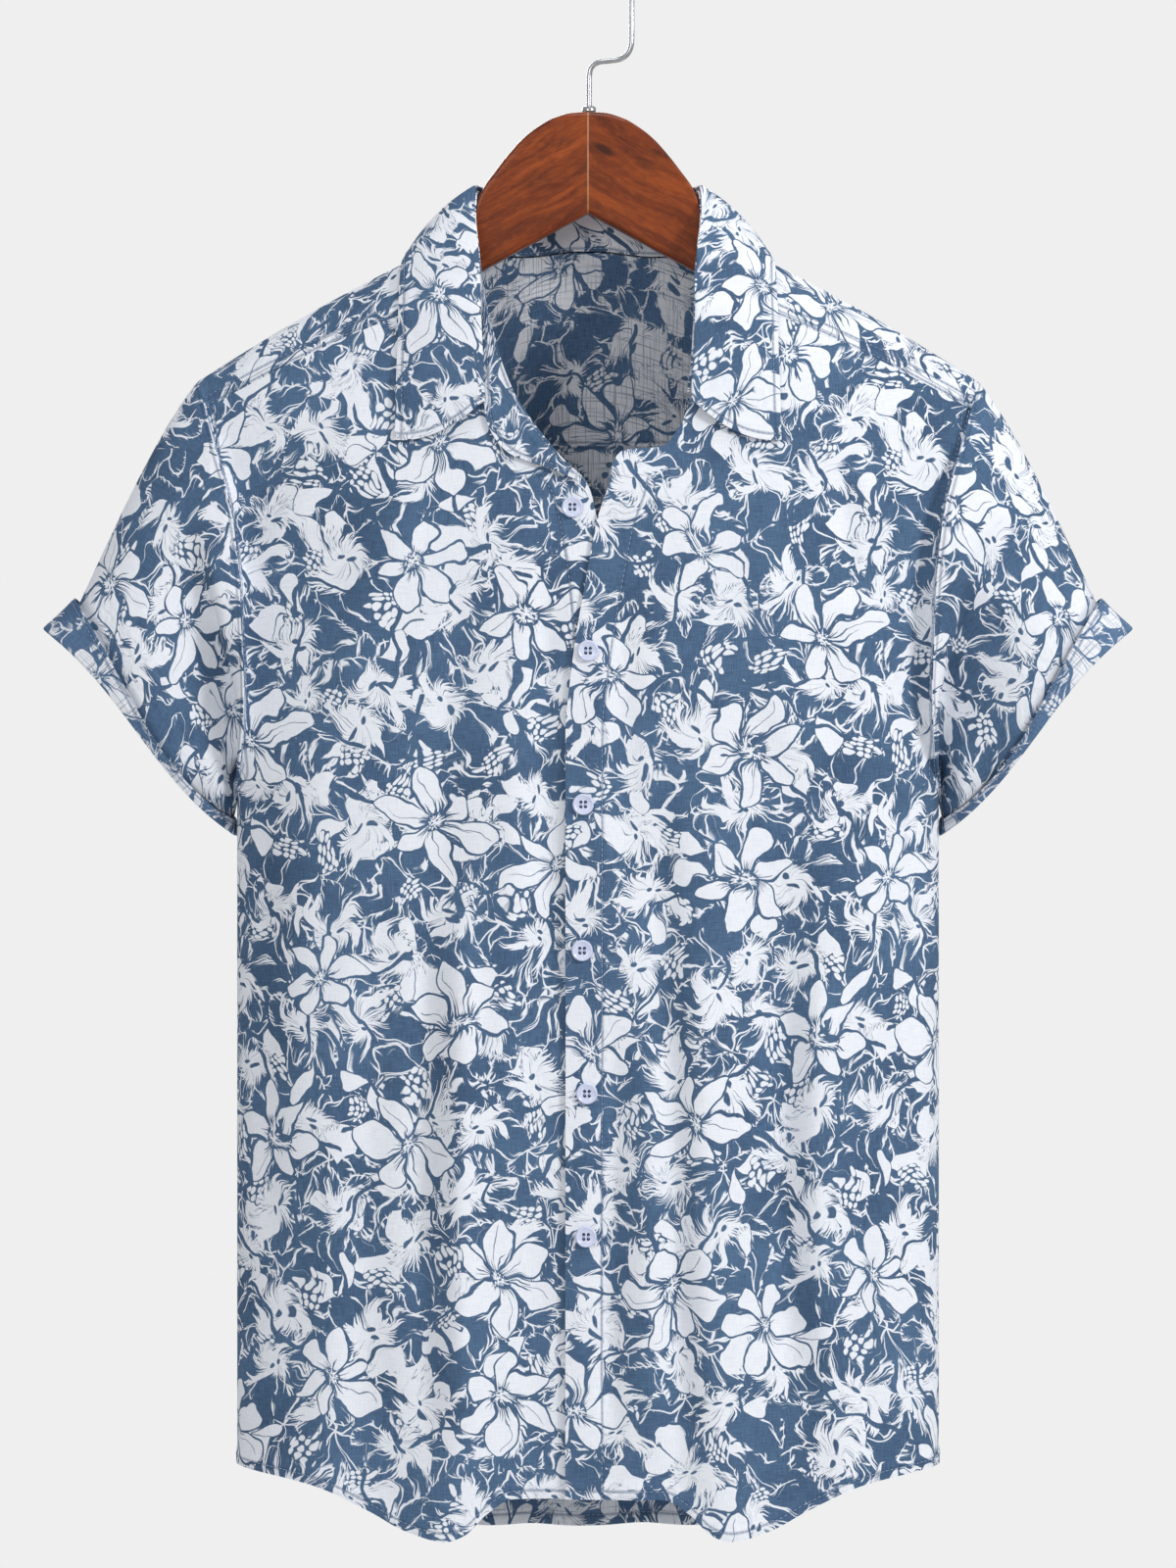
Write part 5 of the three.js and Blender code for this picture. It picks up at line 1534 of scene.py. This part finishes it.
def tube(name, rings, turn_round, finish, slot, node, sharp=50):
    """Closed body through rings of points: quads round it, and each end drawn in to its middle.

    turn_round is for rings that run the way that would turn the faces inwards.
    """
    ends = [lerp(rings[k], rings[k].mean(0), t)[None] for k in (0, -1) for t in (0.5, 0.999)]
    grid = np.concatenate([ends[1], ends[0], rings, ends[2], ends[3]])
    rows, cols = grid.shape[:2]
    quads = round_quads(rows, cols)
    if turn_round:
        quads = quads[:, ::-1]
    points = np.concatenate([grid.reshape(-1, 3), grid[0].mean(0)[None], grid[-1].mean(0)[None]])
    k = np.arange(0, cols, 2)
    first, last = rows * cols, rows * cols + 1
    close = np.stack([np.full(len(k), first), k, (k + 1) % cols, (k + 2) % cols], -1)
    base = (rows - 1) * cols
    far = [np.full(len(k), last), base + (k + 2) % cols, base + (k + 1) % cols, base + k]
    caps = np.concatenate([close, np.stack(far, -1)])
    quads = np.concatenate([quads, caps[:, ::-1] if turn_round else caps])
    made = make(name, points, quads, (finish,), sharp=sharp)
    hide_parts(node)


def hook():
    """Wire swept round its path in the plane of the shirt, with a domed free end."""
    angle = np.radians(np.linspace(0, HOOK_TO, 17))
    loop = np.stack([HOOK_X + HOOK_RADIUS * np.cos(angle), HOOK_Z + HOOK_RADIUS * np.sin(angle)], -1)
    knots = np.concatenate([np.array(HOOK_PATH), loop])
    fine = through(knots, np.linspace(0, len(knots) - 1, 600))
    run = arc(fine)
    at = np.linspace(0, run[-1], 190)
    path = np.stack([np.interp(at, run, fine[:, k]) for k in range(2)], -1)
    way = np.gradient(path, axis=0)
    way /= np.linalg.norm(way, axis=-1, keepdims=True)
    size = WIRE * np.sqrt(np.clip(1 - np.clip((at - run[-1] + 1.4) / 1.45, 0, 1) ** 2, 0.02, 1))
    turn = np.linspace(0, 2 * np.pi, 18, endpoint=False)
    x = path[:, :1] - way[:, 1:] * np.cos(turn) * size[:, None]
    z = path[:, 1:] + way[:, :1] * np.cos(turn) * size[:, None]
    y = np.sin(turn) * size[:, None]
    tube("wire_hook", np.stack([x, y, z], -1), True, STEEL, "wire", "hook")


def ferrule():
    """Small turned collar at the hook's foot: each point of its profile taken round the wire."""
    turn = np.linspace(0, 2 * np.pi, 40, endpoint=False)
    radius, height = FERRULE_PROFILE[:, :1], FERRULE_PROFILE[:, 1:]
    x = HOOK_PATH[0][0] + radius * np.cos(turn)
    rings = np.stack([x, radius * np.sin(turn), np.broadcast_to(height, x.shape)], -1)
    tube("wire_ferrule", rings, True, STEEL, "wire", "ferrule", sharp=30)


# Making
made = {}
made["front_right"], made["front_left"] = front("front_right", -1), front("front_left", 1)
made["back"], made["yoke"] = back(), yoke()
for side, word in ((1, "left"), (-1, "right")):
    made[f"sleeve_{word}"] = sleeve(side)
    made[f"cuff_{word}"] = cuff(side)
made["collar_leaf"], made["collar_stand"] = collar_leaf(), collar_stand()
threads = []
for number, (x, z, over) in enumerate(BUTTONS, 1):
    threads += button(number, x, z, over)
stitches("seam_stitches", SEWN_LINES)
stitches("button_thread", threads, length=2.6, radius=0.28, first=0.2)
for side in (1, -1):
    hanger_arm(side)
hook()
ferrule()

# Studio, in metres
FLOOR_RADIUS, FLOOR_Z = 1.4, -1.25
SEEN_GREY, SKY, SKY_STRENGTH = 0xEFEFEF, 0xF4F6FA, 0.47
LENS, SENSOR, CAMERA_PLACE = 122.7, 36.0, (0, -3.055, -0.4814)


def studio_floor():
    """A pale disc well below the hem: points on a circle, one face."""
    turn = np.linspace(0, 2 * np.pi, 48, endpoint=False)
    height = np.full(48, FLOOR_Z)
    points = np.stack([FLOOR_RADIUS * np.cos(turn), FLOOR_RADIUS * np.sin(turn), height], -1)
    mesh = bpy.data.meshes.new("studio_floor")
    mesh.from_pydata(points.tolist(), [], [list(range(48))])
    f = Finish("studio_floor", Roughness=0.9)
    tone = f.noise(f.own_place(), 3.0, flat=False)
    f.paint(Base_Color=f.mix(tone, linear(0xDEDEDE), linear(0xE4E4E4)))
    mesh.materials.append(f.material)
    floor = bpy.data.objects.new("studio_floor", mesh)
    bpy.context.collection.objects.link(floor)


def backdrop():
    """Even pale grey where the camera looks past the shirt, and a dimmer sky that lights it."""
    world = bpy.data.worlds.new("studio")
    bpy.context.scene.world = world
    world.use_nodes = True
    sky = Nodes(world.node_tree)
    background = "ShaderNodeBackground"
    seen = sky.add(background, {}, {"Color": linear(SEEN_GREY), "Strength": 1.0})
    lit = sky.add(background, {}, {"Color": linear(SKY), "Strength": SKY_STRENGTH})
    from_camera = sky.add("ShaderNodeLightPath", {}, {}, out="Is Camera Ray")
    blend = sky.add("ShaderNodeMixShader", {}, {0: from_camera, 1: lit, 2: seen})
    sky.add("ShaderNodeOutputWorld", {}, {"Surface": blend})


def lamp(name, place, aim, size, power):
    """Round area light turned from its place towards its aim."""
    light = bpy.data.lights.new(name, "AREA")
    light.shape, light.size, light.energy = "DISK", size, power
    stand = bpy.data.objects.new(name, light)
    bpy.context.collection.objects.link(stand)
    away = np.array(place) - np.array(aim)
    stand.location = place
    level = math.hypot(away[0], away[1])
    stand.rotation_euler = (math.atan2(level, away[2]), 0, math.atan2(away[0], -away[1]))


def camera():
    """Camera level with the shirt's middle, straight in front of it."""
    lens = bpy.data.cameras.new("camera")
    lens.lens, lens.sensor_width = LENS, SENSOR
    stand = bpy.data.objects.new("camera", lens)
    stand.location = CAMERA_PLACE
    stand.rotation_euler = (math.pi / 2, 0, 0)
    bpy.context.collection.objects.link(stand)
    bpy.context.scene.camera = stand
    bpy.context.scene.view_settings.view_transform = "Standard"


studio_floor()
backdrop()
lamp("key", (2.3, -1.9, 0.75), (0, 0, -0.45), 0.8, 48)
lamp("fill", (-1.1, -2.9, 0.35), (0, 0, -0.4), 1.4, 17)
lamp("top", (0.2, -0.6, 1.6), (0, 0, -0.4), 1.0, 10)
lamp("rear", (-0.6, 2.6, 0.8), (0, 0, -0.5), 1.4, 34)
camera()
